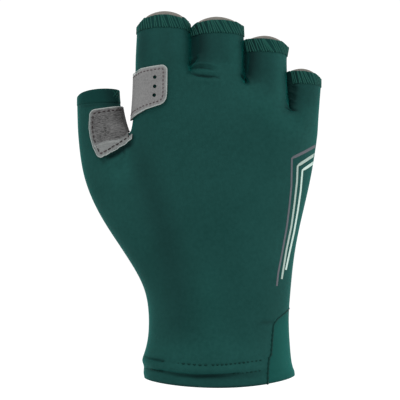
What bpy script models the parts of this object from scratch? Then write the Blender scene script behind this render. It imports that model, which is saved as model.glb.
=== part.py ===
"""Fingerless sailing glove for the right hand, filled as if worn.

Metres, +Z towards the fingers, the back of the hand towards -Y, the thumb towards -X.
The origin is the centre of the wrist opening, at the edge of the cuff.

The glove is modelled flat, on the plane y = 0, from one cage of rings. The cage runs up
from the cuff, splits at the thumb crotch and splits again at the three finger webs. Every
panel is a wall over some faces of that one skin. The last step bends the whole flat glove.
"""
import math

import bmesh
import bpy
from mathutils import Vector

# Main sizes
CROTCH_HEIGHT = 0.1196
PALM_WIDTH = 0.0905
PALM_DEPTH = 0.031
CUFF_WIDTH = 0.0738
CUFF_DEPTH = 0.045
FINGER_RISE = 0.0577
THUMB_RISE = 0.0234
THUMB_WIDTH = 0.0218
THUMB_DEPTH = 0.021
FINGER_DEPTH = 0.020

# Cloth, hems and seams
WALL = 0.0012
HEM_WALL = 0.0018
HEM_LIFT = 0.0004
SEAM_GAP = 0.0003
CUFF_HEM_HEIGHT = 0.0098
CUFF_TUNNEL_BULGE = 0.0009
FINGER_HEM_HEIGHT = 0.0064
LIP_HEIGHT = 0.0056
GUSSET_HEIGHT = 0.0338
GUSSET_HALF_WIDTH = 0.0140
GUSSET_FLARE = 0.0038
GUSSET_ARCH_START = 0.6
GUSSET_ARCH_STEPS = 14

# Suede patches
PATCH_WALL = 0.001
PATCH_GAP = 0.0003
PATCH_WRAP = 0.004
INDEX_PATCH_WIDTH = 0.0171
INDEX_PATCH_HEIGHT = 0.0252
INDEX_PATCH_RISE = 0.0085
INDEX_PATCH_CORNER = 0.0028
PATCH_HOLE_RADIUS = 0.0008
THUMB_PATCH_WIDTH = 0.0214
THUMB_PATCH_HEIGHT = 0.0258
THUMB_PATCH_CORNER = 0.0022
THUMB_PATCH_DROP = 0.43

# How the worn glove bends, as depths added along +Y
PALM_ARCH = 0.004
FINGER_CURL = 0.005
THUMB_FORWARD = 0.009

# Where those bends start: the knuckles as a share of the finger rise, and the thumb's root as
# a share of the way out to the palm's edge
KNUCKLE_RISE = 0.35
THUMB_ROOT = 0.8

SKIN_LEVELS = 1
COLUMNS = 24
HALF_RING = COLUMNS // 2


def table(columns, rows):
    """Turn plain rows into dictionaries keyed by column name."""
    names = columns.split()
    return [dict(zip(names, row)) for row in rows]


# Cuff hem: heights are shares of its height, bulge is a share of the tunnel's bulge
CUFF_ROWS = table("height bulge", [
    (0.00, -0.60),
    (0.26, 0.10),
    (0.53, -0.55),
    (0.77, 0.85),
    (1.00, 0.00),
])

# Hand between the cuff hem and the crotch: height is a share of the way up, left and right
# are shares of the palm's width, depth is a share of the palm's depth
HAND_ROWS = table("height left right depth", [
    (0.085, 0.381, 0.384, 1.37),
    (0.195, 0.374, 0.377, 1.33),
    (0.315, 0.392, 0.390, 1.33),
    (0.425, 0.466, 0.402, 1.33),
    (0.535, 0.558, 0.423, 1.30),
    (0.660, 0.663, 0.458, 1.24),
    (0.820, 0.753, 0.506, 1.12),
    (1.000, 0.779, 0.540, 1.00),
])
PALM_START_ROW = 2
CUFF_ROUNDNESS = 0.9

# Half section at the crotch, from the thumb's side to the little finger's side
CROTCH_SECTION = table("across depth", [
    (0.000, 0.00),
    (0.030, 0.52),
    (0.120, 0.70),
    (0.227, 0.60),
    (0.340, 0.93),
    (0.460, 1.00),
    (0.577, 1.02),
    (0.685, 0.98),
    (0.778, 0.92),
    (0.862, 0.80),
    (0.928, 0.64),
    (0.977, 0.38),
    (1.000, 0.00),
])

# Knuckle line, from the index side to the little finger's side: across is a share of the
# palm's width, rise is a share of the finger rise above the crotch
KNUCKLE_LINE = table("across rise depth", [
    (-0.466, 0.44, 0.00),
    (-0.425, 0.46, 0.58),
    (-0.305, 0.53, 0.92),
    (-0.150, 0.51, 0.66),
    (-0.006, 0.49, 0.94),
    (0.140, 0.41, 0.66),
    (0.256, 0.33, 0.88),
    (0.386, 0.19, 0.58),
    (0.467, 0.16, 0.72),
    (0.527, 0.13, 0.46),
    (0.552, 0.12, 0.00),
])

# Dip of the crotch between thumb and palm, as a share of the thumb's rise
CROTCH_DIP = 0.1

# Webs between neighbouring fingers
WEBS = table("across rise", [
    (-0.150, 0.525),
    (0.140, 0.410),
    (0.387, 0.195),
])

# Fingers: middle and width are shares of the palm's width at the web and at the end, end is
# a share of the finger rise, depth is a share of the finger depth
FINGERS = table("name middle_low middle_end width_low width_end first end depth", [
    ("index", -0.306, -0.302, 0.297, 0.290, 0.63, 1.022, 1.03),
    ("middle", -0.006, -0.008, 0.272, 0.268, 0.59, 0.975, 1.03),
    ("ring", 0.256, 0.2585, 0.226, 0.246, 0.47, 0.822, 0.97),
    ("little", 0.470, 0.468, 0.160, 0.190, 0.26, 0.536, 0.84),
])

# Thumb rings: rise is a share of the way up to its hem. Outset is how far the ring's middle
# lies out from the palm's edge. Outset and width are shares of the thumb's width
THUMB_ROWS = table("rise outset width depth", [
    (0.42, 0.769, 1.09, 1.06),
    (1.00, 0.817, 1.02, 1.00),
])
THUMB_END_OUTSET = 0.822
THUMB_LIP = 0.2

# Ring of a finger, from its left side over the back. Across and thick are shares of half its
# width and depth. Crown is how far the open end drops or stands above the hem there
RING_CORNER = 0.77
FINGER_RING = table("across thick crown", [
    (-1.0, 0.0, -0.55),
    (-RING_CORNER, -RING_CORNER, -0.18),
    (0.0, -1.0, 0.0),
    (RING_CORNER, -RING_CORNER, -0.18),
    (1.0, 0.0, -0.55),
    (RING_CORNER, RING_CORNER, 0.30),
    (0.0, 1.0, 1.0),
    (-RING_CORNER, RING_CORNER, 0.30),
])

# Suede patches, from the inner lower corner: shares of the patch's own width and height
INDEX_PATCH_OUTLINE = table("across up round", [
    (-0.20, -0.08, 0),
    (0.30, 0.13, 0),
    (0.97, 0.31, 1),
    (1.00, 0.48, 0),
    (1.00, 1.00, 1),
    (0.30, 0.945, 0),
    (-0.20, 0.76, 0),
])
PATCH_HOLES = table("across up", [
    (0.645, 0.418),
    (0.660, 0.587),
    (0.660, 0.765),
])
THUMB_PATCH_OUTLINE = table("across up round", [
    (0.00, 0.60, 0),
    (0.03, 0.93, 1),
    (0.93, 1.01, 0),
    (1.12, 0.52, 0),
    (0.995, 0.36, 0),
    (0.22, 0.00, 1),
    (0.03, 0.29, 0),
])

# Looks of the pieces: colour, roughness
GREEN_JERSEY = ((0.012, 0.060, 0.052), 0.62)
GUSSET_MESH = ((0.018, 0.118, 0.100), 0.55)
PALM_SUEDE = ((0.235, 0.215, 0.200), 0.92)
INDEX_SUEDE = ((0.260, 0.258, 0.255), 0.90)
THUMB_SUEDE = ((0.155, 0.155, 0.155), 0.94)

# Slots of the skin, one for each piece that is a wall over it
BACK, PALM, CUFF_HEM, THUMB_HEM, FIRST_FINGER_HEM = range(5)


def smooth_step(low, high, value):
    """Rise smoothly from 0 at low to 1 at high."""
    share = min(max((value - low) / (high - low), 0.0), 1.0)
    return share * share * (3.0 - 2.0 * share)


def hand_ring(left, right, depth, height, palmness):
    """Ring of points round the hand, from the thumb's side over the back and round the palm."""
    points = []
    for column in range(COLUMNS):
        step = column if column <= HALF_RING else COLUMNS - column
        side = -1.0 if column <= HALF_RING else 1.0
        angle = math.pi * step / HALF_RING
        section = CROTCH_SECTION[step]
        across = (1.0 - math.cos(angle)) / 2.0
        across += (section["across"] - across) * palmness
        thick = math.sin(angle) ** CUFF_ROUNDNESS
        thick += (section["depth"] - thick) * palmness
        points.append(Vector((left + (right - left) * across, side * depth / 2.0 * thick, height)))
    grow_sides(points, 0, HALF_RING)
    return points


def grow_sides(points, left_column, right_column):
    """Push the two side points of a ring out, so that the smoothed skin reaches them."""
    for column in (left_column, right_column):
        beside = points[(column + 1) % len(points)]
        points[column].x += (points[column].x - beside.x) / 3.0


def tube_ring(middle, width, depth, height, crown=0.0):
    """Ring of eight points round a finger. It is grown so that the smoothed skin has this size."""
    grow = 4.0 / (3.0 + RING_CORNER) / 2.0
    return [Vector((
        middle + width * grow * point["across"],
        depth * grow * point["thick"],
        height + crown * point["crown"],
    )) for point in FINGER_RING]


def add_band(bm, lower, upper, slots):
    """Join two rings of cage points with quads. Each column has its own slot."""
    count = len(lower)
    for column in range(count):
        beside = (column + 1) % count
        face = bm.faces.new((lower[column], lower[beside], upper[beside], upper[column]))
        face.material_index = slots[column]
        face.smooth = True


def add_ring(bm, points):
    """Put a ring of points into the cage."""
    return [bm.verts.new(point) for point in points]


def hand_slots(ring_size, palm_columns):
    """Slot of each column of a ring round the hand."""
    return [PALM if column in palm_columns else BACK for column in range(ring_size)]


def add_cuff_and_hand(bm):
    """Rings from the cuff's edge up to the crotch. The last ring is given back."""
    rings = []
    for row in CUFF_ROWS:
        out = CUFF_TUNNEL_BULGE * row["bulge"]
        half = CUFF_WIDTH / 2.0 + out
        points = hand_ring(-half, half, CUFF_DEPTH + 2.0 * out, CUFF_HEM_HEIGHT * row["height"], 0.0)
        rings.append(add_ring(bm, points))
    hem_rows = len(rings) - 1
    span = CROTCH_HEIGHT - CUFF_HEM_HEIGHT
    for row in HAND_ROWS:
        points = hand_ring(
            -row["left"] * PALM_WIDTH,
            row["right"] * PALM_WIDTH,
            row["depth"] * PALM_DEPTH,
            CUFF_HEM_HEIGHT + span * row["height"],
            smooth_step(0.25, 1.0, row["height"]),
        )
        rings.append(add_ring(bm, points))
    palm_columns = range(HALF_RING + 1, COLUMNS - 3)
    for number, (lower, upper) in enumerate(zip(rings, rings[1:])):
        if number < hem_rows:
            slots = [CUFF_HEM] * COLUMNS
        elif number <= hem_rows + PALM_START_ROW:
            slots = [BACK] * COLUMNS
        else:
            slots = hand_slots(COLUMNS, palm_columns)
        add_band(bm, lower, upper, slots)
    return rings[-1]


def add_thumb(bm, base):
    """Thumb tube above the crotch, with its hem."""
    hem_start = THUMB_RISE - FINGER_HEM_HEIGHT
    lower = base
    for row in THUMB_ROWS:
        middle = palm_edge() - row["outset"] * THUMB_WIDTH
        height = CROTCH_HEIGHT + hem_start * row["rise"]
        points = tube_ring(middle, row["width"] * THUMB_WIDTH, row["depth"] * THUMB_DEPTH, height)
        upper = add_ring(bm, points)
        add_band(bm, lower, upper, [BACK] * len(base))
        lower = upper
    middle = palm_edge() - THUMB_END_OUTSET * THUMB_WIDTH
    points = tube_ring(middle, THUMB_WIDTH, THUMB_DEPTH, CROTCH_HEIGHT + THUMB_RISE,
                       THUMB_LIP * LIP_HEIGHT)
    add_band(bm, lower, add_ring(bm, points), [THUMB_HEM] * len(base))


def palm_edge():
    """Across position of the palm's edge on the index finger's side."""
    return KNUCKLE_LINE[0]["across"] * PALM_WIDTH


def knuckle_points():
    """Twenty points round the knuckle line, from the index side over the back."""
    points = []
    last = len(KNUCKLE_LINE) - 1
    for column in range(2 * last):
        row = KNUCKLE_LINE[column if column <= last else 2 * last - column]
        side = -1.0 if column <= last else 1.0
        points.append(Vector((
            row["across"] * PALM_WIDTH,
            side * row["depth"] * PALM_DEPTH / 2.0,
            CROTCH_HEIGHT + row["rise"] * FINGER_RISE,
        )))
    return points


def add_knuckles(bm, base):
    """Two bands from the crotch up to the knuckle line. The last ring is given back."""
    top_points = knuckle_points()
    middle_points = [low.co.lerp(high, 0.5) for low, high in zip(base, top_points)]
    middle_points[0].x = top_points[0].x
    middle = add_ring(bm, middle_points)
    top = add_ring(bm, top_points)
    palm_columns = range(11, 19)
    add_band(bm, base, middle, hand_slots(len(base), palm_columns))
    add_band(bm, middle, top, hand_slots(len(base), palm_columns))
    return top


def finger_base(knuckles, webs, number):
    """Eight cage points that a finger stands on."""
    left = knuckles[0] if number == 0 else webs[number - 1]
    right = knuckles[10] if number == 3 else webs[number]
    first = 1 + 2 * number
    back = [knuckles[first + step] for step in range(3)]
    palm = [knuckles[20 - first - step] for step in range(3)]
    return [left] + back + [right] + palm[::-1]


def add_finger(bm, base, row, hem_slot):
    """Finger tube above the knuckle line, with its hem and the suede lip."""
    end = CROTCH_HEIGHT + row["end"] * FINGER_RISE
    hem_start = end - FINGER_HEM_HEIGHT
    first = CROTCH_HEIGHT + row["first"] * FINGER_RISE
    depth = row["depth"] * FINGER_DEPTH
    lower = base
    for share in (0.0, 0.5, 1.0):
        level = first + (hem_start - first) * share
        middle = (row["middle_low"] + (row["middle_end"] - row["middle_low"]) * share) * PALM_WIDTH
        width = (row["width_low"] + (row["width_end"] - row["width_low"]) * share) * PALM_WIDTH
        upper = add_ring(bm, tube_ring(middle, width, depth, level))
        add_band(bm, lower, upper, [BACK] * 5 + [PALM] * 2 + [BACK])
        lower = upper
    points = tube_ring(row["middle_end"] * PALM_WIDTH, row["width_end"] * PALM_WIDTH, depth,
                       end, LIP_HEIGHT)
    add_band(bm, lower, add_ring(bm, points), [hem_slot] * 5 + [PALM] * 2 + [hem_slot])


def make_skin():
    """Smooth skin of the whole flat glove, as a mesh whose slots name the pieces."""
    bm = bmesh.new()
    crotch_ring = add_cuff_and_hand(bm)
    crotch_web = bm.verts.new((crotch_ring[3].co.x, 0.0, CROTCH_HEIGHT - CROTCH_DIP * THUMB_RISE))
    thumb_base = crotch_ring[:4] + [crotch_web] + crotch_ring[-3:]
    add_thumb(bm, thumb_base)
    knuckles = add_knuckles(bm, [crotch_web] + crotch_ring[3:-2])
    webs = add_ring(bm, [Vector((row["across"] * PALM_WIDTH, 0.0,
                                 CROTCH_HEIGHT + row["rise"] * FINGER_RISE)) for row in WEBS])
    for number, row in enumerate(FINGERS):
        add_finger(bm, finger_base(knuckles, webs, number), row, FIRST_FINGER_HEM + number)
    mesh = bpy.data.meshes.new("skin_cage")
    bm.to_mesh(mesh)
    bm.free()
    cage = bpy.data.objects.new("skin_cage", mesh)
    bpy.context.scene.collection.objects.link(cage)
    smooth = cage.modifiers.new("smooth skin", "SUBSURF")
    smooth.levels = SKIN_LEVELS
    smooth.render_levels = SKIN_LEVELS
    skin = evaluated_mesh(cage)
    bpy.data.objects.remove(cage)
    return skin


def evaluated_mesh(piece):
    """Mesh of an object with its modifiers applied."""
    graph = bpy.context.evaluated_depsgraph_get()
    return bpy.data.meshes.new_from_object(piece.evaluated_get(graph))


def trim_border(bm, amount):
    """Pull the open border of a panel inwards along its surface."""
    pulls = {}
    for edge in bm.edges:
        if not edge.is_boundary:
            continue
        face = edge.link_faces[0]
        along = (edge.verts[1].co - edge.verts[0].co).normalized()
        inward = face.normal.cross(along)
        if inward.dot(face.calc_center_median() - edge.verts[0].co) < 0.0:
            inward.negate()
        for vert in edge.verts:
            pulls.setdefault(vert, []).append(inward)
    for vert, inwards in pulls.items():
        mean = sum(inwards, Vector()) / len(inwards)
        vert.co += mean * (amount / max(mean.length_squared, 0.3))


def cloth_wall(name, skin, keep, lift, thickness):
    """Closed wall over the skin faces that keep() picks. Its outer side lies lift above them."""
    bm = bmesh.new()
    bm.from_mesh(skin)
    outward = bm.verts.layers.float_vector.new("outward")
    for vert in bm.verts:
        vert[outward] = vert.normal
    spare = [face for face in bm.faces if not keep(face)]
    bmesh.ops.delete(bm, geom=spare, context="FACES")
    trim_border(bm, SEAM_GAP / 2.0)
    for vert in bm.verts:
        vert.co += vert[outward] * lift
    outer = bm.verts[:] + bm.edges[:] + bm.faces[:]
    grown = bmesh.ops.extrude_face_region(bm, geom=outer, use_keep_orig=True)
    for vert in grown["geom"]:
        if isinstance(vert, bmesh.types.BMVert):
            vert.co -= vert[outward] * thickness
    bm.verts.layers.float_vector.remove(outward)
    bmesh.ops.recalc_face_normals(bm, faces=bm.faces[:])
    for face in bm.faces:
        face.material_index = 0
    mesh = bpy.data.meshes.new(name)
    bm.to_mesh(mesh)
    bm.free()
    piece = bpy.data.objects.new(name, mesh)
    bpy.context.scene.collection.objects.link(piece)
    return piece


def prism(name, corners, start, end, rounds=(), radius=0.0):
    """Solid between two flat copies of an outline. Corners lie on the plane y = start or x = start."""
    bm = bmesh.new()
    verts = [bm.verts.new(corner) for corner in corners]
    face = bm.faces.new(verts)
    if rounds:
        bmesh.ops.bevel(bm, geom=[verts[number] for number in rounds], offset=radius,
                        affect="VERTICES", segments=4, profile=0.5, material=-1)
        face = bm.faces[:][0]
    grown = bmesh.ops.extrude_face_region(bm, geom=[face])
    moved = [vert for vert in grown["geom"] if isinstance(vert, bmesh.types.BMVert)]
    bmesh.ops.translate(bm, verts=moved, vec=Vector(end) - Vector(start))
    bmesh.ops.recalc_face_normals(bm, faces=bm.faces[:])
    mesh = bpy.data.meshes.new(name)
    bm.to_mesh(mesh)
    bm.free()
    cutter = bpy.data.objects.new(name, mesh)
    bpy.context.scene.collection.objects.link(cutter)
    return cutter


def cut(piece, cutter, operation):
    """Apply an exact Boolean of the cutter to the piece and remove the cutter."""
    boolean = piece.modifiers.new("cut", "BOOLEAN")
    boolean.operation = operation
    boolean.solver = "EXACT"
    boolean.object = cutter
    mesh = evaluated_mesh(piece)
    piece.modifiers.clear()
    piece.data = mesh
    bpy.data.objects.remove(cutter)


def gusset_cutter(grow):
    """Arched block through the cuff on the little finger's side, wider by grow all round."""
    half = GUSSET_HALF_WIDTH + grow
    arch_start = GUSSET_ARCH_START * GUSSET_HEIGHT
    arch_rise = GUSSET_HEIGHT - arch_start + grow
    below = -CUFF_HEM_HEIGHT
    flared = half + GUSSET_FLARE * (arch_start - below) / arch_start
    corners = [(0.0, -flared, below), (0.0, flared, below)]
    for step in range(GUSSET_ARCH_STEPS + 1):
        angle = math.pi * step / GUSSET_ARCH_STEPS
        corners.append((0.0, half * math.cos(angle), arch_start + arch_rise * math.sin(angle)))
    return prism("gusset_cutter", corners, (0.0, 0.0, 0.0), (CUFF_WIDTH, 0.0, 0.0))


def front_block(name, outline, left, low, width, height, radius):
    """Block with an outline seen from the back of the hand, from far in front to the wrap depth."""
    front = -2.0 * PALM_DEPTH
    corners = [(left + row["across"] * width, front, low + row["up"] * height) for row in outline]
    rounds = [number for number, row in enumerate(outline) if row["round"]]
    return prism(name, corners, (0.0, front, 0.0), (0.0, PATCH_WRAP, 0.0), rounds, radius)


def make_index_patch(skin):
    """Suede patch at the base of the index finger, wrapped round its side, with three holes."""
    left = palm_edge()
    low = CROTCH_HEIGHT + INDEX_PATCH_RISE
    past_edge = left - PATCH_GAP - PATCH_WALL
    past_patch = left + 1.5 * INDEX_PATCH_WIDTH

    def near_index(face):
        centre = face.calc_center_median()
        return past_edge < centre.x < past_patch and centre.z > CROTCH_HEIGHT

    piece = cloth_wall("index_patch", skin, near_index, PATCH_GAP + PATCH_WALL, PATCH_WALL)
    block = front_block("index_block", INDEX_PATCH_OUTLINE, left, low,
                        INDEX_PATCH_WIDTH, INDEX_PATCH_HEIGHT, INDEX_PATCH_CORNER)
    cut(piece, block, "INTERSECT")
    for row in PATCH_HOLES:
        bpy.ops.mesh.primitive_cylinder_add(
            vertices=12,
            radius=PATCH_HOLE_RADIUS,
            depth=PALM_DEPTH,
            location=(left + row["across"] * INDEX_PATCH_WIDTH, -PALM_DEPTH / 2.0,
                      low + row["up"] * INDEX_PATCH_HEIGHT),
            rotation=(math.radians(90.0), 0.0, 0.0),
        )
        cut(piece, bpy.context.object, "DIFFERENCE")
    return piece


def make_thumb_patch(skin):
    """Suede patch over the thumb's inner side, down to the crotch."""
    left = palm_edge() - THUMB_PATCH_WIDTH
    low = CROTCH_HEIGHT - THUMB_PATCH_DROP * THUMB_PATCH_HEIGHT
    past_patch = low - 0.5 * THUMB_PATCH_HEIGHT

    def on_thumb(face):
        centre = face.calc_center_median()
        if centre.z < CROTCH_HEIGHT:
            return centre.x < palm_edge() + THUMB_WIDTH / 2.0 and centre.z > past_patch
        return centre.x < palm_edge()

    piece = cloth_wall("thumb_patch", skin, on_thumb, PATCH_GAP + PATCH_WALL, PATCH_WALL)
    block = front_block("thumb_block", THUMB_PATCH_OUTLINE, left, low,
                        THUMB_PATCH_WIDTH, THUMB_PATCH_HEIGHT, THUMB_PATCH_CORNER)
    cut(piece, block, "INTERSECT")
    return piece


def bend_depth(x, z):
    """Depth that the worn glove's bends add at a point of the flat glove."""
    knuckle = CROTCH_HEIGHT + KNUCKLE_RISE * FINGER_RISE
    arch = PALM_ARCH * (x / (PALM_WIDTH / 2.0)) ** 2 * smooth_step(0.2, 1.0, z / knuckle)
    above = max(z - knuckle, 0.0) / (FINGER_RISE - KNUCKLE_RISE * FINGER_RISE)
    thumb_start = THUMB_ROOT * palm_edge()
    thumb = THUMB_FORWARD * smooth_step(0.0, 1.5, (thumb_start - x) / THUMB_WIDTH)
    thumb *= smooth_step(0.35, 0.95, z / CROTCH_HEIGHT)
    return arch + FINGER_CURL * above ** 2 + thumb


def bend_worn(piece):
    """Bend a flat piece into the worn glove."""
    for vert in piece.data.vertices:
        vert.co.y += bend_depth(vert.co.x, vert.co.z)


def finish_piece(piece, look, collection):
    """Bend, shade and colour a piece and put it into the glove's collection."""
    bend_worn(piece)
    colour, roughness = look
    material = bpy.data.materials.new(piece.name)
    material.use_nodes = True
    shader = material.node_tree.nodes["Principled BSDF"]
    shader.inputs["Base Color"].default_value = (*colour, 1.0)
    shader.inputs["Roughness"].default_value = roughness
    shader.inputs["Metallic"].default_value = 0.0
    piece.data.materials.clear()
    piece.data.materials.append(material)
    piece.data.shade_smooth()
    piece.data.set_sharp_from_angle(angle=math.radians(40.0))
    for other in list(piece.users_collection):
        other.objects.unlink(piece)
    collection.objects.link(piece)


def in_slot(slot):
    """Test for the skin faces of one slot."""
    return lambda face: face.material_index == slot


def main():
    for thing in list(bpy.data.objects):
        bpy.data.objects.remove(thing)
    glove = bpy.data.collections.new("sailing_glove")
    bpy.context.scene.collection.children.link(glove)
    skin = make_skin()

    back = cloth_wall("back_panel", skin, in_slot(BACK), 0.0, WALL)
    cut(back, gusset_cutter(SEAM_GAP), "DIFFERENCE")
    palm = cloth_wall("palm_panel", skin, in_slot(PALM), 0.0, WALL)
    cuff = cloth_wall("cuff_hem", skin, in_slot(CUFF_HEM), HEM_LIFT, HEM_WALL)
    cut(cuff, gusset_cutter(SEAM_GAP), "DIFFERENCE")

    def cuff_or_back(face):
        in_cuff = face.calc_center_median().z < 1.3 * GUSSET_HEIGHT
        return in_cuff and face.material_index in (BACK, CUFF_HEM)

    gusset = cloth_wall("cuff_gusset", skin, cuff_or_back, 0.0, WALL)
    cut(gusset, gusset_cutter(0.0), "INTERSECT")

    finish_piece(back, GREEN_JERSEY, glove)
    finish_piece(palm, PALM_SUEDE, glove)
    finish_piece(cuff, GREEN_JERSEY, glove)
    finish_piece(gusset, GUSSET_MESH, glove)
    finish_piece(cloth_wall("thumb_hem", skin, in_slot(THUMB_HEM), HEM_LIFT, HEM_WALL), GREEN_JERSEY, glove)
    for number, row in enumerate(FINGERS):
        hem = cloth_wall(row["name"] + "_hem", skin, in_slot(FIRST_FINGER_HEM + number), HEM_LIFT, HEM_WALL)
        finish_piece(hem, GREEN_JERSEY, glove)
    finish_piece(make_index_patch(skin), INDEX_SUEDE, glove)
    finish_piece(make_thumb_patch(skin), THUMB_SUEDE, glove)
    bpy.data.meshes.remove(skin)


main()
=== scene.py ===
# %% [markdown]
# # Fingerless sailing glove
# The real glove is sewn from thin stretch jersey, with grey suede where a rope rubs the hand.
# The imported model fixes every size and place. This script loads it as a frame and dresses it:
# cloth with folds, turned hems with overlock threads, suede patches, printed stripes and stitches.

# %% Load the frame
import math

import bmesh
import bpy
import numpy as np
from mathutils import Matrix, Vector
from mathutils.bvhtree import BVHTree


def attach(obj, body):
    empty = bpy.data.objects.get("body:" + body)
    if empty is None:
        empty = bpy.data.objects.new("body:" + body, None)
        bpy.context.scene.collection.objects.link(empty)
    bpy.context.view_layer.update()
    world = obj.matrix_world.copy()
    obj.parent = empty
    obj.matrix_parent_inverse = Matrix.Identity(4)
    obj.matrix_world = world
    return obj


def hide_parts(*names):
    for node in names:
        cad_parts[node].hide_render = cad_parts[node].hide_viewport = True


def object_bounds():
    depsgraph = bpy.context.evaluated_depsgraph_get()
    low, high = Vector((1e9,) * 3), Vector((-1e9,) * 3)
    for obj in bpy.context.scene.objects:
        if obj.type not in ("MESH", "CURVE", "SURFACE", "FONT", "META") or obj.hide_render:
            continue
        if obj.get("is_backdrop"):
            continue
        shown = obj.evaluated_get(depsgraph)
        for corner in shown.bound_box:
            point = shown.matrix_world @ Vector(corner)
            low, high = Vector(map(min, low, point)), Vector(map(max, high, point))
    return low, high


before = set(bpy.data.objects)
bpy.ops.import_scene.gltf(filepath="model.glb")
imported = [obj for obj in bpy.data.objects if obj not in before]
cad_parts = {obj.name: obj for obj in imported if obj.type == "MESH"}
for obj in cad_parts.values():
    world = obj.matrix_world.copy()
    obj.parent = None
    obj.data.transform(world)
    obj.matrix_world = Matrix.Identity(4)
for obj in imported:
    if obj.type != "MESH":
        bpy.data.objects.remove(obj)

cad_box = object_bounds()
glove = bpy.data.collections.new("dressed_glove")
bpy.context.scene.collection.children.link(glove)


def add_object(name, data, collection=bpy.context.scene.collection):
    """Object of some data, in a collection."""
    made = bpy.data.objects.new(name, data)
    collection.objects.link(made)
    return made


def mesh_of(name, bm):
    """Mesh of a bmesh, which is freed."""
    mesh = bpy.data.meshes.new(name)
    bm.to_mesh(mesh)
    bm.free()
    return mesh


print("CAD nodes:", sorted(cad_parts))

# %% [markdown]
# ## Camera
# The glove was photographed square on, from about 60 cm, with the camera level with the middle of
# the palm. A picture step is one of the 400 steps across the picture. It covers 0.49 mm at the
# middle of the hand, which lets a place in the picture be turned into a place on the glove.

# %% Camera
CAMERA_DISTANCE = 0.62
PICTURE_STEP = 0.00049
PICTURE_STEPS = 400
CAMERA_PLACE = Vector((-0.0091, -CAMERA_DISTANCE, 0.0882))

camera_data = bpy.data.cameras.new("camera")
camera_data.sensor_fit = "HORIZONTAL"
camera_data.angle = 2.0 * math.atan(PICTURE_STEP * PICTURE_STEPS / 2.0 / CAMERA_DISTANCE)
camera = add_object("camera", camera_data)
camera.location = CAMERA_PLACE
camera.rotation_euler = (math.radians(90.0), 0.0, 0.0)
bpy.context.scene.camera = camera
print("Field of view in degrees:", round(math.degrees(camera_data.angle), 2))

# %% [markdown]
# ## Studio
# A studio shot on white has light from all round, and a large soft box above the camera that
# draws the folds. A white world gives the first and area lights give the second. The floor lies
# far below the cuff, so it fills the lower background without a shadow in the picture.

# %% Studio
WORLD_STRENGTH = 1.06
FLOOR_DROP = 0.16
FLOOR_RADIUS = 6.0
FLOOR_SIDES = 64
STUDIO_AIM = Vector((0.0, 0.0, 0.09))
# Name, place, side in metres and power in watts
SOFT_BOXES = (
    ("key", (-0.20, -0.45, 0.95), 0.45, 6.0),
    ("left", (-1.00, -0.10, 0.25), 0.50, 1.0),
    ("right", (1.00, -0.05, 0.20), 0.50, 7.0),
)


def linear(code):
    """Linear colour of an sRGB hex code."""
    parts = [int(code[start:start + 2], 16) / 255.0 for start in (1, 3, 5)]
    return tuple(part / 12.92 if part <= 0.04045 else ((part + 0.055) / 1.055) ** 2.4 for part in parts)


def set_inputs(tree, node, inputs):
    """Give a node its inputs. Each is a value, or the socket that it is linked to."""
    for name, value in inputs.items():
        if isinstance(value, bpy.types.NodeSocket):
            tree.links.new(value, node.inputs[name])
        else:
            node.inputs[name].default_value = value


def add_node(tree, kind, inputs=None, **settings):
    """Add a node with its settings and inputs."""
    node = tree.nodes.new(kind)
    for name, value in settings.items():
        setattr(node, name, value)
    set_inputs(tree, node, inputs or {})
    return node


def new_material(name):
    """Material with its node tree and its shader."""
    material = bpy.data.materials.new(name)
    material.use_nodes = True
    return material, material.node_tree, material.node_tree.nodes["Principled BSDF"]


world = bpy.data.worlds.new("white_studio")
world.use_nodes = True
set_inputs(world.node_tree, world.node_tree.nodes["Background"], {
    "Color": (1.0, 1.0, 1.0, 1.0), "Strength": WORLD_STRENGTH,
})
bpy.context.scene.world = world
bpy.context.scene.view_settings.view_transform = "Standard"

for name, place, size, power in SOFT_BOXES:
    light = bpy.data.lights.new("soft_box_" + name, "AREA")
    light.size = size
    light.energy = power
    lamp = add_object("soft_box_" + name, light)
    lamp.location = place
    lamp.rotation_euler = (STUDIO_AIM - Vector(place)).to_track_quat("-Z", "Y").to_euler()

bm = bmesh.new()
bmesh.ops.create_circle(bm, cap_ends=True, segments=FLOOR_SIDES, radius=FLOOR_RADIUS)
bmesh.ops.translate(bm, verts=bm.verts[:], vec=(0.0, 0.0, -FLOOR_DROP))
floor = add_object("floor", mesh_of("floor", bm))
paper, paper_tree, paper_shader = new_material("matt_white_paper")
set_inputs(paper_tree, paper_shader, {
    "Base Color": (0.95, 0.95, 0.95, 1.0), "Roughness": 1.0, "Specular IOR Level": 0.0,
})
floor.data.materials.append(paper)
floor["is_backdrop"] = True
print("Soft boxes:", len(SOFT_BOXES))

# %% [markdown]
# ## Sizes of the glove
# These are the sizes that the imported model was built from, in metres. They are repeated here so
# that the cloth of the scene lies where its solids are. Only the web of the thumb, the side of the
# ring finger and the top of the gusset's seam are set a millimetre or two away from them.

# %% Sizes
MM = 1000.0
CROTCH_HEIGHT = 0.1196
PALM_WIDTH = 0.0905
PALM_DEPTH = 0.031
CUFF_WIDTH = 0.0738
CUFF_DEPTH = 0.045
FINGER_RISE = 0.0577
THUMB_RISE = 0.0234
THUMB_WIDTH = 0.0218
THUMB_DEPTH = 0.021
FINGER_DEPTH = 0.020
WALL = 0.0012
HEM_WALL = 0.0016
HEM_LIFT = 0.0002
HEM_OVERLAP = 0.0006
SEAM_GAP = 0.0002
CUFF_HEM_HEIGHT = 0.0098
CUFF_TUNNEL_BULGE = 0.0009
FINGER_HEM_HEIGHT = 0.0064
LIP_HEIGHT = 0.0059
COLUMNS = 24
HALF_RING = COLUMNS // 2
# The thumb takes this many columns on each side of the hand's edge
THUMB_COLUMNS = 3
COLUMN_WIDTH = 0.0095
SKIN_LEVELS = 3
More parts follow.
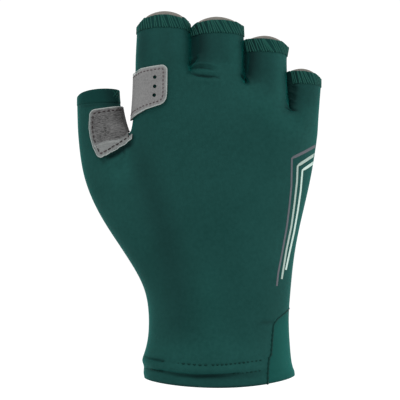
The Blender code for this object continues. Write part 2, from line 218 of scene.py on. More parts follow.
# Bends of the worn glove. A pair holds the shares of a height where a bend starts and is full
PALM_ARCH = 0.004
ARCH_HEIGHTS = (0.2, 1.0)
FINGER_CURL = 0.005
KNUCKLE_RISE = 0.35
THUMB_FORWARD = 0.009
THUMB_HEIGHTS = (0.35, 0.95)
THUMB_ROOT = 0.8
THUMB_TURN = 1.5
BACK, PALM, CUFF_HEM, THUMB_HEM, FIRST_FINGER_HEM = range(5)
THUMB_TUBE = 8


def table(columns, rows):
    """Turn plain rows into dictionaries keyed by column name."""
    names = columns.split()
    return [dict(zip(names, row)) for row in rows]


def finger_height(share):
    """Height at a share of the way from the crotch to the index finger's end."""
    return CROTCH_HEIGHT + share * FINGER_RISE


# Cuff hem: heights are shares of its height, and bulges are shares of the tunnel's bulge. Left
# and right are how far, in millimetres, the sides stand higher than the middle
CUFF_ROWS = table("height bulge bulge_right left right", [
    (-0.08, -0.60, 0.50, 2.2, 3.2),
    (0.22, 0.10, 0.40, 2.0, 2.4),
    (0.51, -0.70, -0.40, 1.8, 0.9),
    (0.77, 0.95, -0.90, 2.0, 0.0),
    (1.00, 0.00, -1.50, 2.0, 0.0),
])

# Hand between the cuff hem and the crotch, as shares of the way up and of the palm's size
HAND_ROWS = table("height left right depth", [
    (0.085, 0.381, 0.384, 1.37),
    (0.195, 0.374, 0.377, 1.33),
    (0.315, 0.392, 0.390, 1.33),
    (0.425, 0.466, 0.402, 1.33),
    (0.535, 0.558, 0.423, 1.30),
    (0.660, 0.663, 0.458, 1.24),
    (0.820, 0.753, 0.506, 1.12),
    (1.000, 0.779, 0.540, 1.00),
])
PALM_START_ROW = 2
PALM_SHAPE_HEIGHTS = (0.25, 1.0)
CUFF_ROUNDNESS = 0.9

# Half section at the crotch, from the thumb's side to the little finger's side
CROTCH_SECTION = table("across depth", [
    (0.000, 0.00),
    (0.030, 0.52),
    (0.120, 0.70),
    (0.227, 0.60),
    (0.340, 0.93),
    (0.460, 1.00),
    (0.577, 1.02),
    (0.685, 0.98),
    (0.778, 0.92),
    (0.862, 0.80),
    (0.928, 0.64),
    (0.977, 0.38),
    (1.000, 0.00),
])

# Knuckle line, as shares of the palm's width, the finger rise and the palm's depth
KNUCKLE_LINE = table("across rise depth", [
    (-0.466, 0.44, 0.00),
    (-0.425, 0.46, 0.58),
    (-0.305, 0.53, 0.92),
    (-0.150, 0.51, 0.66),
    (-0.006, 0.49, 0.94),
    (0.140, 0.41, 0.66),
    (0.256, 0.33, 0.88),
    (0.386, 0.19, 0.58),
    (0.467, 0.16, 0.72),
    (0.527, 0.13, 0.46),
    (0.552, 0.12, 0.00),
])
KNUCKLE_HALF = len(KNUCKLE_LINE) - 1
CROTCH_DIP = 0.2
WEBS = table("across rise", [
    (-0.150, 0.525),
    (0.140, 0.410),
    (0.387, 0.195),
])
# Left, right and lip are millimetres at the open end
FINGERS = table("name middle_low middle_end width_low width_end first end depth behind left right lip", [
    ("index", -0.3015, -0.2995, 0.303, 0.292, 0.63, 1.026, 1.03, -0.05, 5.4, 4.6, 4.8),
    ("middle", -0.0065, -0.0085, 0.302, 0.290, 0.59, 0.975, 1.03, -0.01, 3.6, 2.4, 4.7),
    ("ring", 0.2535, 0.2580, 0.239, 0.250, 0.47, 0.815, 0.97, 0.03, 0.2, 3.6, 4.2),
    ("little", 0.4590, 0.4615, 0.185, 0.197, 0.26, 0.545, 0.84, 0.06, 0.4, 3.2, 3.1),
])
HEM_SAG = 0.3
# The ring finger's hem stands out on the right, by this share of the palm's width
HEM_FLARE = {"ring": 0.012}
THUMB_ROWS = table("rise outset width depth", [
    (0.42, 0.769, 1.09, 1.06),
    (1.00, 0.817, 1.02, 1.00),
])
THUMB_END_OUTSET = 0.822
THUMB_END = {"left": 3.2, "right": 0.4, "lip": 0.4}

# Ring of a finger, from its left side over the back: shares of half its width and depth. At
# the open end, left and right are shares of how far its sides drop, and lip of how far the
# suede on the palm's side stands up
RING_CORNER = 0.77
# Smoothing draws a side's point in to this part of its distance, so the ring is made larger
RING_SMOOTHED = (4.0 + 2.0 * RING_CORNER) / 6.0
FINGER_RING = table("across thick left right lip", [
    (-1.0, 0.0, -1.40, 0.00, 0.00),
    (-RING_CORNER, -RING_CORNER, -0.36, 0.00, 0.00),
    (0.0, -1.0, 0.04, 0.04, 0.00),
    (RING_CORNER, -RING_CORNER, 0.00, -0.45, 0.00),
    (1.0, 0.0, 0.00, -1.40, 0.00),
    (RING_CORNER, RING_CORNER, 0.00, 0.00, 0.36),
    (0.0, 1.0, 0.00, 0.00, 1.25),
    (-RING_CORNER, RING_CORNER, 0.00, 0.00, 0.36),
])
palm_edge = KNUCKLE_LINE[0]["across"] * PALM_WIDTH
print("Palm edge on the index finger's side, mm:", round(palm_edge * MM, 1))

# %% [markdown]
# ## One skin for the whole glove
# The cloth of a worn glove is one smooth surface that branches into fingers. It could be sculpted,
# but a cage of rings keeps its sizes. The first ring is a circle. Each next ring is extruded from
# the last one and moved to its points. A new edge across a ring makes a web, which splits the tube
# into two. A Subdivision Surface then rounds the cage. Each face keeps the number of its panel.

# %% Rings of the cage
def smooth_step(low, high, value):
    """Rise smoothly from 0 at low to 1 at high."""
    share = np.clip((value - low) / (high - low), 0.0, 1.0)
    return share * share * (3.0 - 2.0 * share)


def hand_ring(left, right, depth, height, palmness):
    """Points round the hand, from the thumb's side over the back and round the palm."""
    points = []
    for column in range(COLUMNS):
        step = column if column <= HALF_RING else COLUMNS - column
        side = -1.0 if column <= HALF_RING else 1.0
        angle = math.pi * step / HALF_RING
        section = CROTCH_SECTION[step]
        across = (1.0 - math.cos(angle)) / 2.0
        across += (section["across"] - across) * palmness
        thick = math.sin(angle) ** CUFF_ROUNDNESS
        thick += (section["depth"] - thick) * palmness
        points.append(Vector((left + (right - left) * across, side * depth / 2.0 * thick, height)))
    for column in (0, HALF_RING):
        points[column].x += (points[column].x - points[column + 1].x) / 2.0
    return points


def tube_ring(middle, width, depth, height, behind=0.0, end=None):
    """Eight points round a finger, grown so that the smoothed skin has this size."""
    grow = 0.5 / RING_SMOOTHED
    points = []
    for point in FINGER_RING:
        rise = sum(point[part] * end[part] for part in ("left", "right", "lip")) / MM if end else 0.0
        points.append(Vector((
            middle + width * grow * point["across"],
            behind + depth * grow * point["thick"],
            height + rise,
        )))
    return points


def only(things, kind):
    """The parts of one kind among what a bmesh operator gives back."""
    return [thing for thing in things if isinstance(thing, kind)]


def grown_from(vert, new_verts):
    """New point that an extrusion grew from a point."""
    ends = [edge.other_vert(vert) for edge in vert.link_edges]
    return next(end for end in ends if end in new_verts)


def grow_band(bm, lower, points, slots, columns):
    """Extrude a ring of edges to new points. Each column has its slot and its place on the cloth."""
    cloth = bm.loops.layers.uv.verify()
    edges = [bm.edges.get((vert, lower[(number + 1) % len(lower)])) for number, vert in enumerate(lower)]
    grown = bmesh.ops.extrude_edge_only(bm, edges=edges)["geom"]
    new_verts = set(only(grown, bmesh.types.BMVert))
    new_faces = set(only(grown, bmesh.types.BMFace))
    upper = [grown_from(vert, new_verts) for vert in lower]
    for vert, point in zip(upper, points):
        vert.co = point
    for number, edge in enumerate(edges):
        face = next(face for face in edge.link_faces if face in new_faces)
        face.material_index = slots[number]
        for loop in face.loops:
            first = loop.vert in (lower[number], upper[number])
            column = columns[number] + (0 if first else 1)
            loop[cloth].uv = (column * COLUMN_WIDTH, loop.vert.co.z)
    return upper


def add_web(bm, back, palm, place):
    """Edge across a ring. Its middle point is the web between two tubes."""
    edge = bm.edges.new((back, palm))
    web = bmesh.utils.edge_split(edge, back, 0.5)[1]
    web.co = place
    return web


# %% Cuff, hand and thumb of the cage
def grow_cuff_and_hand(bm):
    """Rings from the cuff's edge up to the crotch. The last ring is given back."""
    rows = []
    for row in CUFF_ROWS:
        out = CUFF_TUNNEL_BULGE * row["bulge"]
        half = CUFF_WIDTH / 2.0
        right = half + CUFF_TUNNEL_BULGE * row["bulge_right"]
        depth = CUFF_DEPTH + 2.0 * out
        points = hand_ring(-half - out, right, depth, CUFF_HEM_HEIGHT * row["height"], 0.0)
        for point in points:
            side = row["left"] if point.x < 0.0 else row["right"]
            point.z += side / MM * (point.x / half) ** 2
        rows.append(points)
    hem_rows = len(rows) - 1
    for row in HAND_ROWS:
        rows.append(hand_ring(
            -row["left"] * PALM_WIDTH,
            row["right"] * PALM_WIDTH,
            row["depth"] * PALM_DEPTH,
            CUFF_HEM_HEIGHT + (CROTCH_HEIGHT - CUFF_HEM_HEIGHT) * row["height"],
            smooth_step(*PALM_SHAPE_HEIGHTS, row["height"]),
        ))
    ring = bmesh.ops.create_circle(bm, segments=COLUMNS, radius=CUFF_WIDTH / 2.0)["verts"]
    for vert, point in zip(ring, rows[0]):
        vert.co = point
    palm_columns = range(HALF_RING + 1, COLUMNS - THUMB_COLUMNS)
    for number, points in enumerate(rows[1:]):
        slots = [PALM if column in palm_columns else BACK for column in range(COLUMNS)]
        if number < hem_rows:
            slots = [CUFF_HEM] * COLUMNS
        elif number <= hem_rows + PALM_START_ROW:
            slots = [BACK] * COLUMNS
        ring = grow_band(bm, ring, points, slots, range(COLUMNS))
    return ring


def grow_thumb(bm, base):
    """Thumb tube above the crotch, with its hem."""
    columns = [*range(THUMB_COLUMNS + 1), *range(COLUMNS - THUMB_COLUMNS - 1, COLUMNS)]
    hem_start = THUMB_RISE - FINGER_HEM_HEIGHT
    ring = base
    for row in THUMB_ROWS:
        points = tube_ring(palm_edge - row["outset"] * THUMB_WIDTH, row["width"] * THUMB_WIDTH,
                           row["depth"] * THUMB_DEPTH, CROTCH_HEIGHT + hem_start * row["rise"])
        ring = grow_band(bm, ring, points, [THUMB_TUBE] * len(base), columns)
    points = tube_ring(palm_edge - THUMB_END_OUTSET * THUMB_WIDTH, THUMB_WIDTH, THUMB_DEPTH,
                       CROTCH_HEIGHT + THUMB_RISE, 0.0, THUMB_END)
    grow_band(bm, ring, points, [THUMB_HEM] * len(base), columns)


# %% Knuckles and fingers of the cage
def knuckle_points():
    """Twenty points round the knuckle line, from the index side over the back."""
    points = []
    for column in range(2 * KNUCKLE_HALF):
        row = KNUCKLE_LINE[min(column, 2 * KNUCKLE_HALF - column)]
        side = -1.0 if column <= KNUCKLE_HALF else 1.0
        points.append(Vector((
            row["across"] * PALM_WIDTH,
            side * row["depth"] * PALM_DEPTH / 2.0,
            finger_height(row["rise"]),
        )))
    return points


def grow_knuckles(bm, base):
    """Two bands from the crotch up to the knuckle line. The last ring is given back."""
    top_points = knuckle_points()
    middle_points = [low.co.lerp(high, 0.5) for low, high in zip(base, top_points)]
    middle_points[0].x = top_points[0].x
    palm_columns = range(KNUCKLE_HALF + 1, 2 * KNUCKLE_HALF - 1)
    slots = [PALM if column in palm_columns else BACK for column in range(len(base))]
    columns = range(THUMB_COLUMNS - 1, THUMB_COLUMNS - 1 + len(base))
    middle = grow_band(bm, base, middle_points, slots, columns)
    return grow_band(bm, middle, top_points, slots, columns)


def grow_finger(bm, base, row, hem_slot, columns):
    """Finger tube above the knuckle line, with its hem and the suede lip."""
    end = finger_height(row["end"])
    first = finger_height(row["first"])
    depth = row["depth"] * FINGER_DEPTH
    behind = row["behind"] * FINGER_DEPTH
    sag = {"left": HEM_SAG * row["left"], "right": HEM_SAG * row["right"], "lip": 0.0}
    ring = base
    for share in (0.0, 0.5, 1.0):
        height = first + (end - FINGER_HEM_HEIGHT - first) * share
        middle = (row["middle_low"] + (row["middle_end"] - row["middle_low"]) * share) * PALM_WIDTH
        width = (row["width_low"] + (row["width_end"] - row["width_low"]) * share) * PALM_WIDTH
        flare = HEM_FLARE.get(row["name"], 0.0) * PALM_WIDTH * share
        points = tube_ring(middle - flare / 2.0, width - flare, depth, height, behind,
                           sag if share == 1.0 else None)
        ring = grow_band(bm, ring, points, [BACK] * 5 + [PALM] * 2 + [BACK], columns)
    points = tube_ring(row["middle_end"] * PALM_WIDTH, row["width_end"] * PALM_WIDTH, depth, end,
                       behind, row)
    grow_band(bm, ring, points, [hem_slot] * 5 + [PALM] * 2 + [hem_slot], columns)


def make_cage():
    """Cage of the whole flat glove. The slots of its faces name the panels."""
    bm = bmesh.new()
    crotch = grow_cuff_and_hand(bm)
    web_place = (crotch[THUMB_COLUMNS].co.x, 0.0, CROTCH_HEIGHT - CROTCH_DIP * THUMB_RISE)
    web = add_web(bm, crotch[THUMB_COLUMNS], crotch[-THUMB_COLUMNS], web_place)
    grow_thumb(bm, crotch[:THUMB_COLUMNS + 1] + [web] + crotch[-THUMB_COLUMNS:])
    knuckles = grow_knuckles(bm, [web] + crotch[THUMB_COLUMNS:1 - THUMB_COLUMNS])
    # Each finger takes three points of the back and three of the palm, and shares the outer ones
    starts = [(1 + 2 * number, 2 * KNUCKLE_HALF - 3 - 2 * number) for number in range(len(FINGERS))]
    sides = [knuckles[0]]
    for (back, palm), row in zip(starts, WEBS):
        place = (row["across"] * PALM_WIDTH, 0.0, finger_height(row["rise"]))
        sides.append(add_web(bm, knuckles[back + 2], knuckles[palm], place))
    sides.append(knuckles[KNUCKLE_HALF])
    for number, ((back, palm), row) in enumerate(zip(starts, FINGERS)):
        base = [sides[number], *knuckles[back:back + 3], sides[number + 1], *knuckles[palm:palm + 3]]
        columns = [start + step for start in (back + 1, palm + 1) for step in range(4)]
        grow_finger(bm, base, row, FIRST_FINGER_HEM + number, columns)
    bmesh.ops.recalc_face_normals(bm, faces=bm.faces[:])
    bm.faces.ensure_lookup_table()
    facing = min(bm.faces, key=lambda face: face.calc_center_median().y)
    if facing.normal.y > 0.0:
        bmesh.ops.reverse_faces(bm, faces=bm.faces[:])
    return mesh_of("skin_cage", bm)


# %% Smooth skin and bends
def evaluated_mesh(piece):
    """Mesh of an object with its modifiers applied."""
    graph = bpy.context.evaluated_depsgraph_get()
    return bpy.data.meshes.new_from_object(piece.evaluated_get(graph))


def subdivide(piece, levels):
    """Round a piece by a Subdivision Surface."""
    modifier = piece.modifiers.new("rounding", "SUBSURF")
    modifier.levels = levels
    modifier.render_levels = levels


def smooth_skin(levels):
    """Cage rounded by a Subdivision Surface."""
    cage = add_object("skin_cage", make_cage())
    subdivide(cage, levels)
    skin = evaluated_mesh(cage)
    bpy.data.objects.remove(cage)
    return skin


def bend_depth(x, z):
    """Depth that the worn glove's bends add at a place of the flat glove."""
    knuckle = finger_height(KNUCKLE_RISE)
    arch = PALM_ARCH * (x / (PALM_WIDTH / 2.0)) ** 2 * smooth_step(*ARCH_HEIGHTS, z / knuckle)
    above = np.maximum(z - knuckle, 0.0) / (FINGER_RISE - KNUCKLE_RISE * FINGER_RISE)
    thumb = THUMB_FORWARD * smooth_step(0.0, THUMB_TURN, (THUMB_ROOT * palm_edge - x) / THUMB_WIDTH)
    thumb = thumb * smooth_step(*THUMB_HEIGHTS, z / CROTCH_HEIGHT)
    return arch + FINGER_CURL * above ** 2 + thumb


# %% [markdown]
# ## Folds
# Stretched jersey pulls into small folds at the finger webs and under the thumb's patch. Cloth
# simulation would place them by chance, so each fold is a short line in the picture with a width
# and a height, and the skin rises or sinks along it. Tones are lines of the same kind: they paint
# shade into the jersey's colour where shade falls, and light where light falls. Only the side that the
# camera sees is changed.

# %% Folds
# Width is in picture steps and height in millimetres. A furrow has a height below 0
FOLDS = table("width height path", [
    (1.8, 0.90, ((191, 66.5), (200, 63.8), (208, 64.2), (220, 67.5))),
    (1.4, -0.45, ((189, 69.2), (199, 67.6), (208, 68.4), (217, 71))),
    (1.8, 0.50, ((196, 72), (206, 71.4), (219, 73))),
    (1.5, -0.80, ((187, 71.2), (198, 75.4), (208, 76.8), (221, 77.6))),
    (2.2, 0.50, ((190, 78.5), (204, 81), (222, 81))),
    (1.8, -0.90, ((197, 57), (193, 62), (189, 67))),
    (1.6, 0.50, ((198, 54), (201, 58), (199, 62))),
    (4.0, -0.90, ((194, 28), (195, 44), (195, 60))),
    (3.0, -0.70, ((245.5, 40), (246, 58), (245, 76))),
    (1.2, 0.50, ((240.8, 44), (240.8, 60), (240.5, 75))),
    (1.3, -0.70, ((240.5, 74), (244, 79), (248.5, 83.5))),
    (1.3, 0.50, ((245, 74), (249, 79), (251.5, 84))),
    (4.0, -0.90, ((291, 72), (292, 88), (290, 104))),
    (1.2, 0.45, ((285.2, 76), (285.2, 90), (285, 104))),
    (1.3, 0.40, ((288, 84), (293, 85.5), (300, 86))),
    (1.3, 0.40, ((288, 91), (293, 93), (299, 95))),
    (1.3, 0.40, ((287, 98), (292, 100.5), (298, 103))),
    (1.4, -0.70, ((284, 106), (290, 109.5), (298, 110.5))),
    (3.0, -1.20, ((134, 141), (122, 149), (108, 158))),
    (2.6, 0.90, ((131, 151), (122, 157), (110, 167))),
    (1.5, -0.60, ((115, 152.5), (108, 158), (101, 164))),
    (1.5, -0.90, ((141, 355), (149, 358.5), (165, 361.5))),
    (1.3, -0.15, ((155, 360), (190, 364.5), (225, 364.5), (262, 360))),
    (3.0, 0.55, ((150, 366), (190, 370), (230, 369.5), (264, 366))),
    (2.0, -1.00, ((158, 370), (178, 374.5), (197, 376.2), (220, 375.6), (242, 373))),
    (1.4, -0.50, ((143, 368), (152, 369.8), (166, 372))),
    (1.4, -0.15, ((228, 375), (250, 373), (267, 370.5))),
    (1.5, -0.35, ((260, 323.8), (268, 322.8), (275, 321))),
])
# Painted shade: a tone darkens the jersey where shade falls, between the fingers, in the back's hollow,
# under the patches and hems and along the cuff's edge. A tone below 0 is lighter: painted light.
SHADE_AND_LIGHT_LINES = table("width height path", [
    (16.0, 0.26, ((134, 112), (143, 160), (153, 200), (166, 236), (175, 280), (178, 345))),
    (12.0, -0.15, ((108, 160), (116, 172), (124, 188))),
    (4.0, -0.14, ((128, 150), (126, 164), (128, 178))),
    (13.0, -0.17, ((236, 82), (256, 100), (288, 124), (318, 136))),
    (16.0, -0.14, ((208, 262), (212, 310), (214, 350))),
    (10.0, -0.20, ((322, 90), (316, 150), (298, 230), (290, 312))),
    (10.0, -0.24, ((142, 290), (141, 330), (142, 382))),
    (16.0, -0.16, ((140, 350), (200, 354), (262, 350))),
    (5.0, -0.08, ((140, 366), (200, 369), (265, 366))),
    (10.0, 0.52, ((196, 14), (201, 40), (203, 68))),
    (4.5, 0.36, ((194, 16), (195, 42), (195, 66))),
    (10.0, 0.48, ((249, 26), (253, 56), (254, 84))),
    (5.0, 0.62, ((246, 26), (246.5, 58), (246, 86))),
    (9.0, 0.46, ((292, 60), (293, 90), (292, 116))),
    (4.0, 0.40, ((290, 62), (290.5, 90), (290, 114))),
    (9.0, 0.12, ((165, 24), (166, 48), (170, 72))),
    (8.0, 0.14, ((218, 28), (220, 46), (222, 64))),
    (8.0, 0.14, ((268, 44), (269, 70), (270, 96))),
    (7.0, 0.16, ((308, 80), (309, 94), (309, 108))),
    (5.0, -0.20, ((237, 26), (237, 48), (236, 74))),
    (5.0, -0.20, ((282, 46), (281, 76), (280, 106))),
    (1.2, 0.45, ((142, 378), (168, 384), (208, 388), (240, 386.5), (266, 384.5), (293, 377))),
    (3.0, 0.22, ((190, 377.5), (225, 378), (264, 374))),
    (6.0, -0.20, ((280, 316), (284, 345), (286, 378))),
    (2.4, 0.16, ((254, 324.6), (266, 323), (277, 320))),
    (1.6, 0.35, ((76, 107), (96, 104.5), (120, 103.5))),
    (9.0, 0.28, ((139, 16), (142, 44), (140, 70))),
    (2.2, 0.45, ((99, 159), (115, 155.5), (132, 144))),
    (9.0, 0.45, ((106, 84), (112, 96), (118, 108))),
    (1.4, 0.25, ((186, 71), (198, 75.2), (219, 77.2))),
    (1.2, 0.20, ((189, 69), (200, 67.4), (214, 69.6))),
])
# Painted shade that all the jersey starts with, which a lighter tone takes away
EVEN_PAINTED_SHADE = 0.30
FOLD_FACING = (0.10, 0.45)
SHADE_AND_LIGHT_FACING = (-0.60, -0.10)
FOLD_SEEN = 0.00004
# Furrows get painted shade too: a furrow of this depth, in millimetres, is painted as dark as the deepest
# shade
FURROW_PAINTED_SHADE_DEPTH = 2.2
PAINTED_SHADE_LIMIT = 0.9
FOLD_REFINING = 2


def fold_lift(across, up, rows):
    """How far the folds lift the skin at places of the picture, in metres."""
    lift = np.zeros(len(across))
    for row in rows:
        path = np.array(row["path"], float)
        steps = np.diff(path, axis=0)
        lengths = np.hypot(steps[:, 0], steps[:, 1])
        nearest = np.full(len(across), 1e9)
        along = np.zeros(len(across))
        before = 0.0
        for start, step, length in zip(path, steps, lengths):
            share = ((across - start[0]) * step[0] + (up - start[1]) * step[1]) / length ** 2
            share = np.clip(share, 0.0, 1.0)
            away = np.hypot(across - start[0] - share * step[0], up - start[1] - share * step[1])
            along = np.where(away < nearest, before + share * length, along)
            nearest = np.minimum(away, nearest)
            before += length
        taper = np.sqrt(np.sin(math.pi * np.clip(along / before, 0.0, 1.0)).clip(0.0, 1.0))
        lift += row["height"] / MM * taper * np.exp(-(nearest / row["width"]) ** 2)
    return lift


def read_places(mesh, part="co"):
    """Places of a mesh's vertices, or another part of them, as rows of an array."""
    values = np.empty(len(mesh.vertices) * 3)
    mesh.vertices.foreach_get(part, values)
    return values.reshape(-1, 3)


def write_places(mesh, places):
    """Move a mesh's vertices to places."""
    mesh.vertices.foreach_set("co", places.ravel())
    mesh.update()


def fold_lifts(skin, rows, facing):
    """How far rows lift the skin where it faces the camera enough."""
    x, y, z = read_places(skin).T
    scale = CAMERA_DISTANCE / (CAMERA_DISTANCE + y + bend_depth(x, z)) / PICTURE_STEP
    across = PICTURE_STEPS / 2.0 + (x - CAMERA_PLACE.x) * scale
    up = PICTURE_STEPS / 2.0 - (z - CAMERA_PLACE.z) * scale
    return fold_lift(across, up, rows) * smooth_step(*facing, -read_places(skin, "normal")[:, 1])


def fold_skin(skin, refine=0):
    """Skin with its folds. Refine gives it smaller faces near them."""
    for _ in range(refine):
        lift = fold_lifts(skin, FOLDS, FOLD_FACING)
        bm = bmesh.new()
        bm.from_mesh(skin)
        near = {vert for vert in bm.verts if abs(lift[vert.index]) > FOLD_SEEN}
        edges = [edge for edge in bm.edges if edge.verts[0] in near and edge.verts[1] in near]
        made = bmesh.ops.subdivide_edges(bm, edges=edges, cuts=1, use_grid_fill=True)["geom_inner"]
        bmesh.ops.smooth_vert(bm, verts=only(made, bmesh.types.BMVert), factor=0.5,
                              use_axis_x=True, use_axis_y=True, use_axis_z=True)
        bm.to_mesh(skin)
        bm.free()
        skin.update()
    lift = fold_lifts(skin, FOLDS, FOLD_FACING)
    # Painted shade and light: the tones and the furrows set how dark the jersey is painted at each point
    tone = fold_lifts(skin, SHADE_AND_LIGHT_LINES, SHADE_AND_LIGHT_FACING) * MM
    painted_shade = np.clip(EVEN_PAINTED_SHADE + tone - np.minimum(lift, 0.0) * MM / FURROW_PAINTED_SHADE_DEPTH, 0.0, PAINTED_SHADE_LIMIT)
    skin.attributes.new("painted_shade", "FLOAT", "POINT").data.foreach_set("value", painted_shade)
    write_places(skin, read_places(skin) + read_places(skin, "normal") * lift[:, None])
    return skin


skin = fold_skin(smooth_skin(SKIN_LEVELS), FOLD_REFINING)
fine_skin = fold_skin(smooth_skin(SKIN_LEVELS + 1))
slots = [face.material_index for face in skin.polygons]
print("Faces of each panel:", [slots.count(slot) for slot in range(THUMB_TUBE + 1)])

# %% Places on the skin
# First guess of the depth that the camera sees, and how often it is improved
FIRST_DEPTH = -0.015
SEEN_ROUNDS = 5
skin_tree = BVHTree.FromPolygons([vert.co for vert in skin.vertices],
                                 [face.vertices for face in skin.polygons])


def front(x, z, lift=0.0, near=None, side=-1.0):
    """Place on the back of the hand, or with side 1 on the palm, at a place of the flat plane."""
    start = Vector((x, side, z))
    place, normal, number, _ = skin_tree.ray_cast(start, Vector((0.0, -side, 0.0)))
    if place is None or (near and not near(skin.polygons[number].material_index, place)):
        return None
    return place + normal * lift


def seen(across, up, lift=0.0):
    """Place on the flat skin that the camera sees at a place of the picture."""
    depth = FIRST_DEPTH
    for _ in range(SEEN_ROUNDS):
        reach = (CAMERA_DISTANCE + depth) / CAMERA_DISTANCE * PICTURE_STEP
        x = CAMERA_PLACE.x + (across - PICTURE_STEPS / 2.0) * reach
        z = CAMERA_PLACE.z - (up - PICTURE_STEPS / 2.0) * reach
        place, normal, _, _ = skin_tree.ray_cast(Vector((x, -1.0, z)), Vector((0.0, 1.0, 0.0)))
        if place is None:
            place, normal, _, _ = skin_tree.find_nearest(Vector((x, depth - bend_depth(x, z), z)))
        depth = place.y + float(bend_depth(place.x, place.z))
    return place + normal * lift


def resample(path, pitch):
    """Points at an even pitch along a path."""
    path = [Vector(point) for point in path]
    lengths = [0.0]
    for start, end in zip(path, path[1:]):
        lengths.append(lengths[-1] + (end - start).length)
    count = max(int(round(lengths[-1] / pitch)), 1)
    points = []
    for step in range(count + 1):
        reach = lengths[-1] * step / count
        number = min(max(sum(length < reach for length in lengths) - 1, 0), len(path) - 2)
        span = lengths[number + 1] - lengths[number]
        points.append(path[number].lerp(path[number + 1], (reach - lengths[number]) / max(span, 1e-9)))
    return points


print("Hand under the picture's middle:", tuple(round(part, 4) for part in seen(200.0, 200.0)))

# %% [markdown]
# ## Cloth and finishing
# A panel of cloth is a wall over some faces of the skin: the faces are kept, their border is
# pulled in a little for the seam, and they are extruded inwards. Cutting the panels from one skin
# makes the seams meet, which separate modelling wouldn't. Everything is made flat and then bent.

# %% Walls of cloth
SHARP_ANGLE = math.radians(50.0)
# At a sharp corner of a panel, its border is pulled in no further than this allows
CORNER_LIMIT = 0.3


def trim_border(bm, amount):
    """Pull the open border of a panel inwards along its surface."""
    pulls = {}
    for edge in bm.edges:
        if not edge.is_boundary:
            continue
        face = edge.link_faces[0]
        along = (edge.verts[1].co - edge.verts[0].co).normalized()
        inward = face.normal.cross(along)
        if inward.dot(face.calc_center_median() - edge.verts[0].co) < 0.0:
            inward.negate()
        for vert in edge.verts:
            pulls.setdefault(vert, []).append(inward)
    for vert, inwards in pulls.items():
        mean = sum(inwards, Vector()) / len(inwards)
        vert.co += mean * (amount / max(mean.length_squared, CORNER_LIMIT))


def cloth_wall(name, skin, keep, lift, thickness, gap=SEAM_GAP):
    """Closed wall over the skin faces that keep() picks. Its outer side lies lift above them."""
    bm = bmesh.new()
    bm.from_mesh(skin)
    outward = bm.verts.layers.float_vector.new("outward")
    for vert in bm.verts:
        vert[outward] = vert.normal
    spare = [face for face in bm.faces if not keep(face)]
    bmesh.ops.delete(bm, geom=spare, context="FACES")
    trim_border(bm, gap / 2.0)
    for vert in bm.verts:
        vert.co += vert[outward] * lift
    outer = bm.verts[:] + bm.edges[:] + bm.faces[:]
    grown = bmesh.ops.extrude_face_region(bm, geom=outer, use_keep_orig=True)
    for vert in only(grown["geom"], bmesh.types.BMVert):
        vert.co -= vert[outward] * thickness
    bm.verts.layers.float_vector.remove(outward)
    bmesh.ops.recalc_face_normals(bm, faces=bm.faces[:])
    for face in bm.faces:
        face.material_index = 0
    return new_piece(name, bm)


def new_piece(name, bm):
    """Piece of the glove made of a bmesh."""
    return add_object(name, mesh_of(name, bm), glove)


def in_slot(*slots):
    """Test for the skin faces of some slots."""
    return lambda face: face.material_index in slots


def cut(piece, cutter, operation):
    """Apply an exact Boolean of the cutter to the piece and remove the cutter."""
    boolean = piece.modifiers.new("cut", "BOOLEAN")
    boolean.operation = operation
    boolean.solver = "EXACT"
    boolean.object = cutter
    mesh = evaluated_mesh(piece)
    piece.modifiers.clear()
    piece.data = mesh
    bpy.data.objects.remove(cutter)


def finish(piece, material, node=None, round_edges=False):
    """Bend a flat piece into the worn glove and give it its surface and its place in the frame."""
    places = read_places(piece.data)
    places[:, 1] += bend_depth(places[:, 0], places[:, 2])
    write_places(piece.data, places)
    piece.data.materials.clear()
    piece.data.materials.append(material)
    piece.data.shade_smooth()
    if round_edges:
        subdivide(piece, 1)
    else:
        piece.data.set_sharp_from_angle(angle=SHARP_ANGLE)
    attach(piece, "root")
    if node:
        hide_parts(node)
    print(piece.name, "faces:", len(piece.data.polygons))


# %% Threads
DASH_STEPS = 6
THREAD_LIFT = 0.0001
# A line of thread with fewer places isn't made
FEWEST_PLACES = 4


def thread_piece(name, paths, radius):
    """Round threads along paths, as one mesh."""
    curve = bpy.data.curves.new(name, "CURVE")
    curve.dimensions = "3D"
    curve.bevel_depth = radius
    curve.bevel_resolution = 1
    curve.use_fill_caps = True
    for path in paths:
        spline = curve.splines.new("POLY")
        spline.points.add(len(path) - 1)
        for point, place in zip(spline.points, path):
            point.co = (*place, 1.0)
    holder = add_object(name, curve, glove)
    mesh = evaluated_mesh(holder)
    bpy.data.objects.remove(holder)
    return add_object(name, mesh, glove)


def sew(name, paths, radius, material):
    """Finished threads along paths."""
    finish(thread_piece(name, paths, radius), material)


def dashes(path, pitch, share, sink):
    """Short threads along a path on the cloth. Their ends dive into it by sink."""
    paths = []
    points = resample(path, pitch / DASH_STEPS)
    length = max(int(round(DASH_STEPS * share)), 2)
    low = Vector((0.0, sink, 0.0))
    for start in range(0, len(points) - DASH_STEPS, DASH_STEPS):
        dash = points[start:start + length + 1]
        paths.append([dash[0] + low] + dash[1:-1] + [dash[-1] + low])
    return paths


# %% [markdown]
# ## Materials
# Everything is soft cloth or leather. The jersey is polyester knit: matt, dark, with a faint sheen
# where it turns away. The suede is brushed leather: rough, without any gloss, mottled where the
# nap lies in different ways. The threads are twisted polyester. The stripes are rubbery print.

# %% Nodes that the materials share
def body_places(tree):
    """Places on an object, which its patterns follow."""
    return add_node(tree, "ShaderNodeTexCoord").outputs["Object"]


def noise(tree, places, grain, detail, roughness):
    """Noise with grains of a size in millimetres."""
    return add_node(tree, "ShaderNodeTexNoise", {
        "Vector": places, "Scale": MM / grain, "Detail": detail, "Roughness": roughness,
    }).outputs["Fac"]


